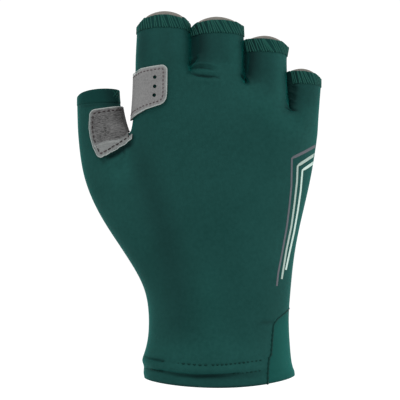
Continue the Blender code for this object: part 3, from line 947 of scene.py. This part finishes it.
def times_plus(tree, value, factor, more):
    """Value times a factor, plus more."""
    inputs = {0: value, 1: factor, 2: more}
    return add_node(tree, "ShaderNodeMath", inputs, operation="MULTIPLY_ADD").outputs[0]


def mixed(tree, share, first, second):
    """Two colours mixed by a share. Each is a socket or an sRGB hex code."""
    first, second = [(*linear(one), 1.0) if isinstance(one, str) else one for one in (first, second)]
    inputs = {"Factor": share, 6: first, 7: second}
    return add_node(tree, "ShaderNodeMix", inputs, data_type="RGBA").outputs[2]


def attribute(tree, name):
    """Value that the mesh keeps at its vertices."""
    return add_node(tree, "ShaderNodeAttribute", attribute_name=name).outputs["Fac"]


def dress(tree, shader, colour, height, strength, distance, inputs):
    """Give a shader its colour, its relief and its other inputs."""
    bump = add_node(tree, "ShaderNodeBump", {"Height": height, "Strength": strength, "Distance": distance})
    set_inputs(tree, shader, {"Base Color": colour, "Normal": bump.outputs["Normal"], **inputs})


# %% Jersey
SHEEN_TINT = "#00A59A"
# The real stitches are about 0.5 mm wide. Pitches are in millimetres
WALE_PITCH = 0.5
COURSE_PITCH = 0.45


def knit_rows(tree, cloth, pitch, direction):
    """Rows of knit at a pitch in millimetres. A wave repeats after a twentieth of 2 pi."""
    return add_node(tree, "ShaderNodeTexWave", {
        "Vector": cloth, "Scale": MM / pitch * 2.0 * math.pi / 20.0,
        "Distortion": 2.5, "Detail": 1.0, "Detail Scale": 1.5,
    }, bands_direction=direction).outputs["Fac"]


def jersey(name, painted_shade_colour, dark, light):
    """Polyester jersey. Wales run along the finger and courses run round it."""
    material, tree, shader = new_material(name)
    cloth = add_node(tree, "ShaderNodeUVMap").outputs["UV"]
    wales = knit_rows(tree, cloth, WALE_PITCH, "X")
    courses = knit_rows(tree, cloth, COURSE_PITCH, "Y")
    knit = add_node(tree, "ShaderNodeMath", {0: wales, 1: courses}, operation="MULTIPLY").outputs[0]
    body = body_places(tree)
    fuzz = noise(tree, body, 1.7, 3.0, 0.6)
    cloud = noise(tree, body, 28.0, 2.0, 0.5)
    tone = times_plus(tree, cloud, 0.6, times_plus(tree, fuzz, 0.6, -0.1))
    # Painted shade: the skin's attribute mixes the colour towards the shade colour, and is 1 where the
    # shade is darkest
    colour = mixed(tree, attribute(tree, "painted_shade"), mixed(tree, tone, dark, light), painted_shade_colour)
    dress(tree, shader, colour, times_plus(tree, fuzz, 0.8, knit), 0.25, 0.0002, {
        "Roughness": 0.62, "Specular IOR Level": 0.02, "Sheen Weight": 0.34, "Sheen Roughness": 0.35,
        "Sheen Tint": (*linear(SHEEN_TINT), 1.0),
    })
    return material


# The first colour of each jersey is the colour of its painted shade
green_jersey = jersey("dark_green_polyester_jersey", "#091A1A", "#0B2E2A", "#1E4945")
hem_jersey = jersey("shaded_green_hem_jersey", "#081A1A", "#082A28", "#123A35")
sewn_jersey = jersey("deep_green_overlocked_jersey", "#061716", "#082826", "#103733")
gusset_jersey = jersey("teal_stretch_mesh", "#0A2826", "#0A3733", "#134640")
print("Jersey made:", green_jersey.name, gusset_jersey.name)

# %% Suede, thread and print
NAP_LEAN = math.radians(12.0)
# The colours span this range of the nap, divided by the contrast, on each side of its middle
NAP_MIDDLE = 0.12
NAP_RANGE = 0.2


def suede(name, dark, light, pale_edge_and_highlight, speckle, contrast, stretch=1.0):
    """Brushed leather. The pale attribute is 1 at a cut edge, where the pale fibres show. On the thumb's
    patch it also holds a painted highlight along the fold's ridge.
    """
    material, tree, shader = new_material(name)
    body = body_places(tree)
    lying = add_node(tree, "ShaderNodeMapping", {
        "Vector": body, "Scale": (1.0 / stretch, 1.0, stretch), "Rotation": (0.0, NAP_LEAN, 0.0),
    }).outputs["Vector"]
    nap = noise(tree, lying, speckle, 5.0, 0.65)
    cloud = noise(tree, body, 7.0, 2.0, 0.5)
    reach = NAP_RANGE / contrast
    tone = add_node(tree, "ShaderNodeMapRange", {
        "Value": times_plus(tree, cloud, 0.24, times_plus(tree, nap, 0.8, -0.4)),
        "From Min": NAP_MIDDLE - reach, "From Max": NAP_MIDDLE + reach,
    }).outputs["Result"]
    colour = mixed(tree, attribute(tree, "pale_edge_and_highlight"), mixed(tree, tone, dark, light), pale_edge_and_highlight)
    dress(tree, shader, colour, nap, 0.5, 0.0003, {
        "Roughness": 0.95, "Specular IOR Level": 0.1, "Sheen Weight": 0.05,
    })
    return material


def plain_fibre(name, dark, light, roughness, grain):
    """Thread or print with a fine grain."""
    material, tree, shader = new_material(name)
    fibre = noise(tree, body_places(tree), grain, 2.0, 0.5)
    dress(tree, shader, mixed(tree, fibre, dark, light), fibre, 0.3, 0.0001, {
        "Roughness": roughness, "Specular IOR Level": 0.06,
    })
    return material


palm_suede = suede("warm_grey_suede", "#5F5D58", "#716E69", "#96938B", 0.9, 1.0)
index_suede = suede("smooth_grey_suede", "#595959", "#6F6F6F", "#8A918F", 0.8, 1.2)
thumb_suede = suede("mottled_grey_suede", "#252525", "#5A5A5A", "#828685", 0.8, 1.9, 2.4)
cut_edge = plain_fibre("pale_cut_suede_edge", "#7A817F", "#8F9694", 0.9, 0.6)
overlock = plain_fibre("dark_green_overlock_thread", "#113832", "#1A473F", 0.6, 0.5)
dark_thread = plain_fibre("dark_green_sewing_thread", "#031F1C", "#062A26", 0.7, 0.5)
patch_thread = plain_fibre("dark_maroon_sewing_thread", "#352D2F", "#4A4043", 0.7, 0.5)
thumb_thread = plain_fibre("dark_brown_sewing_thread", "#1E1A1B", "#2D2728", 0.7, 0.5)
stripe_outer = plain_fibre("mauve_grey_print", "#42454A", "#4D5054", 0.6, 0.8)
stripe_middle = plain_fibre("grey_green_print", "#7B8A83", "#87968F", 0.6, 0.8)
stripe_inner = plain_fibre("pale_mint_print", "#91A29B", "#A0B2AA", 0.6, 0.8)
print("Materials:", len(bpy.data.materials))

# %% [markdown]
# ## Jersey panels
# The back, the finger sides and the thumb are one panel of jersey. A lighter gusset is let into
# the cuff on the little finger's side, so a block behind its seam is cut out of the cuff and kept
# as its own piece. The Boolean cuts exactly along the seam, which picking faces wouldn't. A dark
# thread lies in the seam, and the stitches of the upright part show as thicker dashes on it.

# %% Jersey panels
# The gusset is made from the cloth below this height and beyond this place across
GUSSET_REACH = 0.045
GUSSET_SIDE = 0.015
SEAM_PITCH = 0.0008
SEAM_LOWEST = 0.0006
SEAM_SINK = 0.00005
SEAM_RADIUS = 0.00040
# The stitches show along this many places of the seam, on the back
SEAM_STITCHED = 36
SEAM_STITCH_RADIUS = 0.00062

# Seam of the gusset in the flat plane, from the cuff's edge up to the side of the wrist
GUSSET_SEAM = table("x z", [
    (0.0231, -0.0060),
    (0.0232, 0.0066),
    (0.0238, 0.0126),
    (0.0249, 0.0145),
    (0.0253, 0.0200),
    (0.0257, 0.0251),
    (0.0261, 0.0284),
    (0.0280, 0.0310),
    (0.0320, 0.0336),
    (0.0345, 0.0352),
    (0.0390, 0.0386),
])


def prism(name, corners, push):
    """Solid between two flat copies of an outline."""
    bm = bmesh.new()
    face = bm.faces.new([bm.verts.new(corner) for corner in corners])
    grown = bmesh.ops.extrude_face_region(bm, geom=[face])
    bmesh.ops.translate(bm, verts=only(grown["geom"], bmesh.types.BMVert), vec=push)
    bmesh.ops.recalc_face_normals(bm, faces=bm.faces[:])
    return new_piece(name, bm)


def gusset_cutter(grow):
    """Block behind the gusset's seam, right through the cuff, wider by grow."""
    corners = [(row["x"] - grow, -CUFF_DEPTH, row["z"]) for row in GUSSET_SEAM]
    corners.append((CUFF_WIDTH, -CUFF_DEPTH, GUSSET_SEAM[-1]["z"]))
    corners.append((CUFF_WIDTH, -CUFF_DEPTH, GUSSET_SEAM[0]["z"]))
    return prism("gusset_cutter", corners, (0.0, 2.0 * CUFF_DEPTH, 0.0))


def cuff_or_back(face):
    """Test for the faces that the gusset is cut from."""
    centre = face.calc_center_median()
    near = centre.x > GUSSET_SIDE and centre.z < GUSSET_REACH
    return near and face.material_index in (BACK, CUFF_HEM)


back = cloth_wall("back_jersey", skin, in_slot(BACK, THUMB_TUBE), 0.0, WALL, 0.0)
cut(back, gusset_cutter(SEAM_GAP), "DIFFERENCE")
finish(back, green_jersey, "back_panel")
cuff = cloth_wall("cuff_tunnel", skin, in_slot(CUFF_HEM), 0.0, HEM_WALL, 0.0)
cut(cuff, gusset_cutter(SEAM_GAP), "DIFFERENCE")
finish(cuff, green_jersey, "cuff_hem")
gusset = cloth_wall("gusset_cloth", fine_skin, cuff_or_back, 0.0, WALL)
cut(gusset, gusset_cutter(0.0), "INTERSECT")
finish(gusset, gusset_jersey, "cuff_gusset")
seam = resample([(row["x"], 0.0, max(row["z"], SEAM_LOWEST)) for row in GUSSET_SEAM], SEAM_PITCH)
seam_paths = []
for side in (-1.0, 1.0):
    places = [front(point.x, point.z, lift=-SEAM_SINK, side=side) for point in seam]
    seam_paths.append([place for place in places if place is not None])
sew("gusset_seam", seam_paths, SEAM_RADIUS, dark_thread)
seam_dashes = dashes(seam_paths[0][:SEAM_STITCHED], pitch=0.0023, share=0.5, sink=0.0003)
sew("gusset_stitches", seam_dashes, SEAM_STITCH_RADIUS, dark_thread)
palm = cloth_wall("palm_suede_panel", skin, in_slot(PALM), 0.0, WALL, 0.0)
finish(palm, palm_suede, "palm_panel", round_edges=True)

# %% [markdown]
# ## Hems of the fingers
# Each finger ends in a turned hem, sewn over with an overlock stitch. The hem is a thicker wall
# that stands a little proud. The threads are real tubes: each runs up the band, leans a little
# and goes over the edge. A texture would stay flat at the edge, where the threads show most. A
# row of small dark stitches closes the band below. The thumb's hem is plain, but for a few threads.

# %% Hems and overlock threads
THREAD_PITCH = 0.0013
THREAD_RADIUS = 0.00030
THREAD_STEPS = 6
# The threads sit on a ring of this share of half the hem's width, and end at this angle
THREAD_RING = 0.9
THREAD_END = math.radians(215.0)
# Pitches that a thread leans outwards at the sides
THREAD_FAN = 0.9
# How far threads stray, and how much of that goes to their place and their lean
THREAD_SPREAD = 0.22
PLACE_STRAY = 0.6
LEAN_STRAY = 2.0
# Share of its radius that a thread is sunk, and how far its end stands over the hem's edge
THREAD_SINK = 0.3
OVER_EDGE = 0.0002
HEM_SCAN_STEP = 0.0002
HEM_SCAN_START = 0.004
# Lean is in pitches over the height of the hem. Start is the angle of the first thread in degrees
OVERLOCKS = {
    "index": {"lean": -1.6, "start": -35.0},
    "middle": {"lean": -2.1, "start": 5.0},
    "ring": {"lean": -2.6, "start": 25.0},
    "little": {"lean": -1.9, "start": 38.0},
}
# The stitches lie at this place of the scan, on a line of so many points for each thread
STITCH_ROW = 2
LINE_POINTS = 4
HEM_STITCH_RADIUS = 0.00022
THUMB_THREAD_RADIUS = 0.00024
chance = np.random.default_rng(7)


def hem_band(tree, middle, low, high, angle):
    """Places up a hem at one angle round its finger, from its lower to its upper edge."""
    across = Vector((-math.cos(angle), -math.sin(angle), 0.0))
    places = []
    height = low
    while height < high:
        place, normal, _, _ = tree.ray_cast(Vector((middle, 0.0, height)), across)
        if place is not None:
            places.append((place, normal if normal.dot(across) > 0.0 else -normal))
        height += HEM_SCAN_STEP
    return places


def overlock_paths(slot, middle, half_width, low, high, lean, start):
    """Paths of the threads that lean round one hem, and the line of the stitches below them."""
    faces = [face.vertices for face in skin.polygons if face.material_index == slot]
    tree = BVHTree.FromPolygons([vert.co for vert in skin.vertices], faces)
    paths = []
    start = math.radians(start)
    turn = THREAD_END - start
    count = int(turn * half_width * THREAD_RING / THREAD_PITCH)
    for number in range(count):
        stray = chance.normal(0.0, THREAD_SPREAD, 3)
        angle = start + turn * (number + 0.5 + PLACE_STRAY * stray[0]) / count
        fan = THREAD_FAN * math.copysign(abs(math.cos(angle)) ** 0.5, math.cos(angle))
        shift = THREAD_PITCH / half_width * (lean + fan + LEAN_STRAY * stray[1])
        sink = THREAD_SINK * THREAD_RADIUS * (1.0 + stray[2])
        path = []
        for step in range(THREAD_STEPS + 1):
            share = step / THREAD_STEPS
            places = hem_band(tree, middle, low, high, angle + shift * share)
            if len(places) < FEWEST_PLACES:
                continue
            place, normal = places[min(int(share * len(places)), len(places) - 1)]
            path.append(place + normal * (HEM_LIFT - sink))
            if step == THREAD_STEPS:
                path.append(place - normal * 0.5 * HEM_WALL + Vector((0.0, 0.0, OVER_EDGE)))
        if len(path) >= FEWEST_PLACES:
            paths.append(path)
    line = []
    for number in range(LINE_POINTS * count):
        places = hem_band(tree, middle, low, high, start + turn * number / (LINE_POINTS * count))
        if len(places) > FEWEST_PLACES:
            place, normal = places[STITCH_ROW]
            line.append(place + normal * HEM_LIFT)
    return paths, line


def make_hem(name, slot, cloth):
    """Turned hem of one tube. It overlaps its neighbours a little."""
    hem = cloth_wall(name + "_hem_cloth", skin, in_slot(slot), HEM_LIFT, HEM_WALL, -HEM_OVERLAP)
    finish(hem, cloth, name + "_hem", round_edges=True)


for number, row in enumerate(FINGERS):
    name, slot = row["name"], FIRST_FINGER_HEM + number
    middle, half_width = row["middle_end"] * PALM_WIDTH, row["width_end"] * PALM_WIDTH / 2.0
    end = finger_height(row["end"])
    make_hem(name, slot, sewn_jersey)
    paths, line = overlock_paths(slot, middle, half_width, end - FINGER_HEM_HEIGHT - HEM_SCAN_START,
                                 end + LIP_HEIGHT, **OVERLOCKS[name])
    sew(name + "_overlock", paths, THREAD_RADIUS, overlock)
    stitches = dashes(line, pitch=0.0017, share=0.7, sink=0.0002)
    sew(name + "_hem_stitches", stitches, HEM_STITCH_RADIUS, dark_thread)
make_hem("thumb", THUMB_HEM, hem_jersey)
# Only a few crossed threads show at the inner corner of the thumb's hem
THUMB_THREADS = (
    ((112.5, 90.5), (114.5, 93), (116.5, 96)), ((115, 90), (117, 92.5), (119, 95.5)),
    ((117.5, 90.5), (115.5, 93.5), (113, 96.5)), ((119, 92), (117.5, 95), (115.5, 98)),
)
thumb_threads = [[seen(across, up, THREAD_LIFT) for across, up in path] for path in THUMB_THREADS]
sew("thumb_overlock", thumb_threads, THUMB_THREAD_RADIUS, overlock)

# %% [markdown]
# ## Suede patches
# A patch is a flat piece of suede with rounded corners, laid over the jersey and sewn down just
# inside its edge. It is cut from the fine skin by a block of its outline, so it follows the hand.
# The pale cut edge is a thin bead along the outline, and the stitches are short sunk threads.

# %% Outlines of the patches
PATCH_WALL = 0.001
PATCH_GAP = 0.0003
PATCH_WRAP = 0.004
INDEX_PATCH_WIDTH = 0.0171
INDEX_PATCH_HEIGHT = 0.0252
INDEX_PATCH_RISE = 0.0085
INDEX_PATCH_CORNER = 0.0028
PATCH_HOLE_RADIUS = 0.00092
THUMB_PATCH_WIDTH = 0.0214
THUMB_PATCH_HEIGHT = 0.0258
THUMB_PATCH_CORNER = 0.0022
THUMB_PATCH_DROP = 0.43
CORNER_STEPS = 6
HOLE_SIDES = 20
STITCH_INSET = 0.0017
STITCH_LIFT = 0.00005
STITCH_SHARE = 0.62
STITCH_SINK = 0.0005
EDGE_BEAD = 0.00022
OUTLINE_STEP = 0.0004
OUTLINE_BREAK = 0.003
# Pale fibres of a cut edge: how strong they are, and from where to where they fade
RIM_STRENGTH = 0.6
RIM_FADE = (0.0001, 0.0005)

# Shares of the patch's own width and height, from its inner lower corner
INDEX_PATCH_OUTLINE = table("across up round", [
    (-0.20, -0.08, 0),
    (0.14, 0.06, 0),
    (0.40, 0.15, 0),
    (0.97, 0.27, 1),
    (1.00, 0.48, 0),
    (1.00, 1.00, 1),
    (0.30, 0.945, 0),
    (-0.20, 0.76, 0),
])
PATCH_HOLES = table("across up", [
    (0.645, 0.418),
    (0.660, 0.587),
    (0.660, 0.765),
])
THUMB_PATCH_OUTLINE = table("across up round", [
    (0.00, 0.60, 0),
    (0.02, 0.93, 1),
    (0.93, 1.01, 0),
    (0.985, 0.80, 0),
    (1.03, 0.60, 0),
    (1.00, 0.36, 0),
    (0.23, 0.00, 1),
    (0.10, 0.22, 0),
    (0.03, 0.42, 0),
])


def rounded_outline(outline, left, low, width, height, radius):
    """Corners of an outline in the flat plane, with the marked ones rounded by a bevel."""
    bm = bmesh.new()
    places = [(left + row["across"] * width, 0.0, low + row["up"] * height) for row in outline]
    verts = [bm.verts.new(place) for place in places]
    bm.faces.new(verts)
    rounds = [vert for vert, row in zip(verts, outline) if row["round"]]
    bmesh.ops.bevel(bm, geom=rounds, offset=radius, affect="VERTICES", segments=CORNER_STEPS,
                    profile=0.5, material=-1)
    corners = [vert.co.copy() for vert in bm.faces[:][0].verts]
    bm.free()
    return corners


def inset(corners, amount):
    """Outline moved inwards by an amount."""
    middle = sum(corners, Vector()) / len(corners)
    moved = []
    for number, corner in enumerate(corners):
        along = (corners[(number + 1) % len(corners)] - corners[number - 1]).normalized()
        inward = Vector((along.z, 0.0, -along.x))
        if inward.dot(middle - corner) < 0.0:
            inward.negate()
        moved.append(corner + inward * amount)
    return moved


def lay_on(corners, lift, near):
    """Paths on the back of the hand along an outline, broken where it leaves what is near."""
    runs = [[]]
    for corner in resample(corners + corners[:1], OUTLINE_STEP):
        place = front(corner.x, corner.z, lift, near)
        if runs[-1] and (place is None or (place - runs[-1][-1]).length > OUTLINE_BREAK):
            runs.append([])
        if place is not None:
            runs[-1].append(place)
    if len(runs) > 1 and runs[0] and runs[-1] and (runs[0][0] - runs[-1][-1]).length < OUTLINE_BREAK:
        runs[0] = runs.pop() + runs[0]
    return [run for run in runs if len(run) >= FEWEST_PLACES]


def paint_rim(piece, corners):
    """Attribute that is strong near the outline of a patch."""
    places = read_places(piece.data)[:, [0, 2]]
    nearest = np.full(len(places), 1.0)
    for start, end in zip(corners, corners[1:] + corners[:1]):
        step = np.array((end.x - start.x, end.z - start.z))
        away = places - np.array((start.x, start.z))
        share = np.clip(away @ step / max(step @ step, 1e-12), 0.0, 1.0)
        nearest = np.minimum(nearest, np.hypot(*(away - share[:, None] * step).T))
    pale_edge_and_highlight = piece.data.attributes.new("pale_edge_and_highlight", "FLOAT", "POINT")
    pale_edge_and_highlight.data.foreach_set("value", RIM_STRENGTH * (1.0 - smooth_step(*RIM_FADE, nearest)))


# %% Making a patch
def make_patch(name, near, corners, holes=()):
    """Suede patch cut from a wall over the fine skin by a block of its outline, with its holes."""
    def keep(face):
        return near(face.material_index, face.calc_center_median())

    piece = cloth_wall(name, fine_skin, keep, PATCH_GAP + PATCH_WALL, PATCH_WALL)
    reach = 2.0 * PALM_DEPTH
    block = prism("patch_block", [corner - Vector((0.0, reach, 0.0)) for corner in corners],
                  (0.0, reach + PATCH_WRAP, 0.0))
    cut(piece, block, "INTERSECT")
    for x, z in holes:
        bm = bmesh.new()
        bmesh.ops.create_cone(bm, cap_ends=True, segments=HOLE_SIDES, radius1=PATCH_HOLE_RADIUS,
                              radius2=PATCH_HOLE_RADIUS, depth=reach)
        bmesh.ops.rotate(bm, verts=bm.verts[:], matrix=Matrix.Rotation(math.radians(90.0), 3, "X"))
        bmesh.ops.translate(bm, verts=bm.verts[:], vec=(x, -reach / 2.0, z))
        cut(piece, new_piece("hole_cutter", bm), "DIFFERENCE")
    paint_rim(piece, corners)
    return piece


def patch_trim(name, corners, pitch, near, radius, threads):
    """Pale bead along a patch's cut edge, and the stitches inside it: a piece for each thread's test."""
    top = PATCH_GAP + PATCH_WALL
    sew(name + "_cut_edge", lay_on(corners, top - 0.5 * EDGE_BEAD, near), EDGE_BEAD, cut_edge)
    paths = []
    for run in lay_on(inset(corners, STITCH_INSET), top + STITCH_LIFT, near):
        paths += dashes(run, pitch, STITCH_SHARE, STITCH_SINK)
    for ending, thread, picks in threads:
        sew(name + ending, [path for path in paths if picks(path[0])], radius, thread)


# %% Index patch
INDEX_STITCH_PITCH = 0.0019
INDEX_STITCH_RADIUS = 0.00024
# The patch lies on skin from just outside the palm edge to some widths of its own
NEAR_EDGE = 0.002
NEAR_SPAN = 1.5
index_low = CROTCH_HEIGHT + INDEX_PATCH_RISE
index_corners = rounded_outline(INDEX_PATCH_OUTLINE, palm_edge, index_low, INDEX_PATCH_WIDTH,
                                INDEX_PATCH_HEIGHT, INDEX_PATCH_CORNER)


def near_index(slot, place):
    """Test for the skin round the index patch."""
    inside = palm_edge - NEAR_EDGE < place.x < palm_edge + NEAR_SPAN * INDEX_PATCH_WIDTH
    return inside and CROTCH_HEIGHT < place.z < finger_height(1.0) - FINGER_HEM_HEIGHT


index_holes = [
    (palm_edge + row["across"] * INDEX_PATCH_WIDTH, index_low + row["up"] * INDEX_PATCH_HEIGHT)
    for row in PATCH_HOLES
]
index_patch = make_patch("index_suede_patch", near_index, index_corners, index_holes)
finish(index_patch, index_suede, "index_patch")
patch_trim("index_patch", index_corners, INDEX_STITCH_PITCH, near_index, INDEX_STITCH_RADIUS,
           [("_stitches", patch_thread, lambda place: True)])

# %% Thumb patch
THUMB_FOLD = ((-0.0600, 0.1148), (-0.0566, 0.1161), (-0.0497, 0.1169), (-0.0427, 0.1191))
THUMB_FOLD_WIDTH = 0.0006
THUMB_FOLD_DEPTH = 0.0004
STRIP_DEPTH = 0.8
# Painted highlight along the fold's ridge, and the paleness of the strip below it
RIDGE_PAINTED_HIGHLIGHT = 0.75
STRIP_PALENESS = 0.46
# The thumb's stitches are maroon from this far below the fold, and brown above
MAROON_BELOW = -0.0035
THUMB_STITCH_PITCH = 0.0024
THUMB_STITCH_RADIUS = 0.00028
# Skin of the hand counts as near the patch down to this far below it
NEAR_BELOW = 0.012
thumb_left = palm_edge - THUMB_PATCH_WIDTH
thumb_low = CROTCH_HEIGHT - THUMB_PATCH_DROP * THUMB_PATCH_HEIGHT
thumb_corners = rounded_outline(THUMB_PATCH_OUTLINE, thumb_left, thumb_low, THUMB_PATCH_WIDTH,
                                THUMB_PATCH_HEIGHT, THUMB_PATCH_CORNER)


def near_thumb(slot, place):
    """Test for the skin round the thumb patch."""
    on_hand = slot == BACK and thumb_low - NEAR_BELOW < place.z < CROTCH_HEIGHT
    return slot == THUMB_TUBE or (on_hand and place.x < palm_edge + THUMB_WIDTH / 2.0)


def above_fold(x, z):
    """How far places lie above the fold of the thumb's patch."""
    line_x, line_z = zip(*THUMB_FOLD)
    return z - np.interp(x, line_x, line_z)


def fold_thumb_patch(piece):
    """Fold that the thumb presses into its patch: a raised ridge with a painted highlight, with a sunk,
    paler strip below it.
    """
    places = read_places(piece.data)
    above = above_fold(places[:, 0], places[:, 2])
    ridge = np.exp(-(above / THUMB_FOLD_WIDTH) ** 2)
    strip = 1.0 - smooth_step(-THUMB_FOLD_WIDTH, 0.0, above)
    places[:, 1] += THUMB_FOLD_DEPTH * (STRIP_DEPTH * strip - ridge)
    write_places(piece.data, places)
    # The ridge's paleness is a painted highlight, kept with the pale cut edge
    pale_edge_and_highlight = np.empty(len(places))
    values = piece.data.attributes["pale_edge_and_highlight"].data
    values.foreach_get("value", pale_edge_and_highlight)
    values.foreach_set("value", np.maximum.reduce([pale_edge_and_highlight, RIDGE_PAINTED_HIGHLIGHT * ridge, STRIP_PALENESS * strip]))


thumb_patch = make_patch("thumb_suede_patch", near_thumb, thumb_corners)
fold_thumb_patch(thumb_patch)
finish(thumb_patch, thumb_suede, "thumb_patch")
patch_trim("thumb_patch", thumb_corners, THUMB_STITCH_PITCH, near_thumb, THUMB_STITCH_RADIUS, [
    ("_stitches", thumb_thread, lambda place: above_fold(place.x, place.z) > MAROON_BELOW),
    ("_lower_stitches", patch_thread, lambda place: above_fold(place.x, place.z) <= MAROON_BELOW),
])

# %% [markdown]
# ## Printed stripes
# Three stripes of rubbery print run from the side of the hand and turn down towards the wrist.
# Each is a ribbon that grows edge by edge along its line in the picture, and lies on the skin. It
# is wider above its bend.

# %% Printed stripes
PRINT_LIFT = 0.00008
STRIPE_PITCH = 0.0009
# Above its bend, a stripe is wider by this share, and gets so over these picture steps
STRIPE_HEAD = 0.6
STRIPE_WIDENING = 3.0
# Name, ink, half the width in picture steps, and the line. Its third place is the bend
STRIPES = (
    ("outer_stripe", stripe_outer, 0.85, ((316, 145.6), (304, 152.3), (291.9, 158.2), (291.4, 186),
     (289.4, 206.5), (286.8, 227), (282.2, 252.4), (278.2, 273), (276.8, 286))),
    ("middle_stripe", stripe_middle, 0.85, ((315.4, 154.1), (306, 160.3), (297.6, 165.8), (297, 181),
     (294.5, 203.5), (291.4, 226), (286.3, 250.4), (281.7, 279))),
    ("inner_stripe", stripe_inner, 0.80, ((314.4, 162), (308, 166.6), (302.4, 170.2), (300.6, 191),
     (297.6, 211.6), (294, 232), (288.4, 257.6), (285.8, 269.8))),
)


def ribbon(name, path, half_width):
    """Thin strip along a path of places in the picture, wider above its bend."""
    bm = bmesh.new()
    points = resample([(across, 0.0, up) for across, up in path], STRIPE_PITCH / PICTURE_STEP)
    bend = path[2][0]
    edge = None
    for number, point in enumerate(points):
        before = points[max(number - 1, 0)]
        after = points[min(number + 1, len(points) - 1)]
        along = (after - before).normalized()
        spread = half_width * (1.0 + STRIPE_HEAD * smooth_step(bend, bend + STRIPE_WIDENING, point.x))
        aside = Vector((-along.z, 0.0, along.x)) * spread
        pair = [seen(place.x, place.z, PRINT_LIFT) for place in (point - aside, point + aside)]
        if edge is None:
            verts = [bm.verts.new(place) for place in pair]
            edge = bm.edges.new(verts)
            continue
        grown = bmesh.ops.extrude_edge_only(bm, edges=[edge])["geom"]
        moved = only(grown, bmesh.types.BMVert)
        edge = bm.edges.get(moved)
        verts = [grown_from(vert, moved) for vert in verts]
        for vert, place in zip(verts, pair):
            vert.co = place
    bmesh.ops.recalc_face_normals(bm, faces=bm.faces[:])
    if sum((face.normal.y for face in bm.faces), 0.0) > 0.0:
        bmesh.ops.reverse_faces(bm, faces=bm.faces[:])
    bmesh.ops.solidify(bm, geom=bm.faces[:], thickness=PRINT_LIFT)
    return new_piece(name, bm)


for name, ink, half_width, path in STRIPES:
    finish(ribbon(name, path, half_width), ink)

# %% [markdown]
# ## Stitches of the cuff
# The tunnel of the cuff is held by two rows of small dark stitches. The lower row sinks into the
# crease in the middle, so it only shows at its two ends.

# %% Cuff stitches
CUFF_STITCHES = table("pitch share path", [
    (0.0027, 0.5, ((162, 361.5), (183, 363.8), (201, 365.4), (212, 365.2))),
    (0.0021, 0.5, ((212, 365.2), (224, 364.8), (243, 362.8), (264, 359.8))),
    (0.0021, 0.5, ((233, 373.6), (250, 372.0), (266, 369.6))),
    (0.0015, 0.6, ((152, 369), (158, 370.8), (166, 372))),
])
cuff_paths = []
for row in CUFF_STITCHES:
    line = [seen(across, up, THREAD_LIFT) for across, up in row["path"]]
    cuff_paths += dashes(line, row["pitch"], row["share"], sink=0.0004)
sew("cuff_stitches", cuff_paths, SEAM_RADIUS, dark_thread)

# %% [markdown]
# ## Sizes
# The dressed glove has to stay in the box of its solids, apart from a few millimetres of cloth. Both
# boxes are printed.

# %% Print the sizes and finish
size = {"cad": [list(corner) for corner in cad_box], "scene": [list(corner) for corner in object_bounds()]}
print("Boxes:", size)
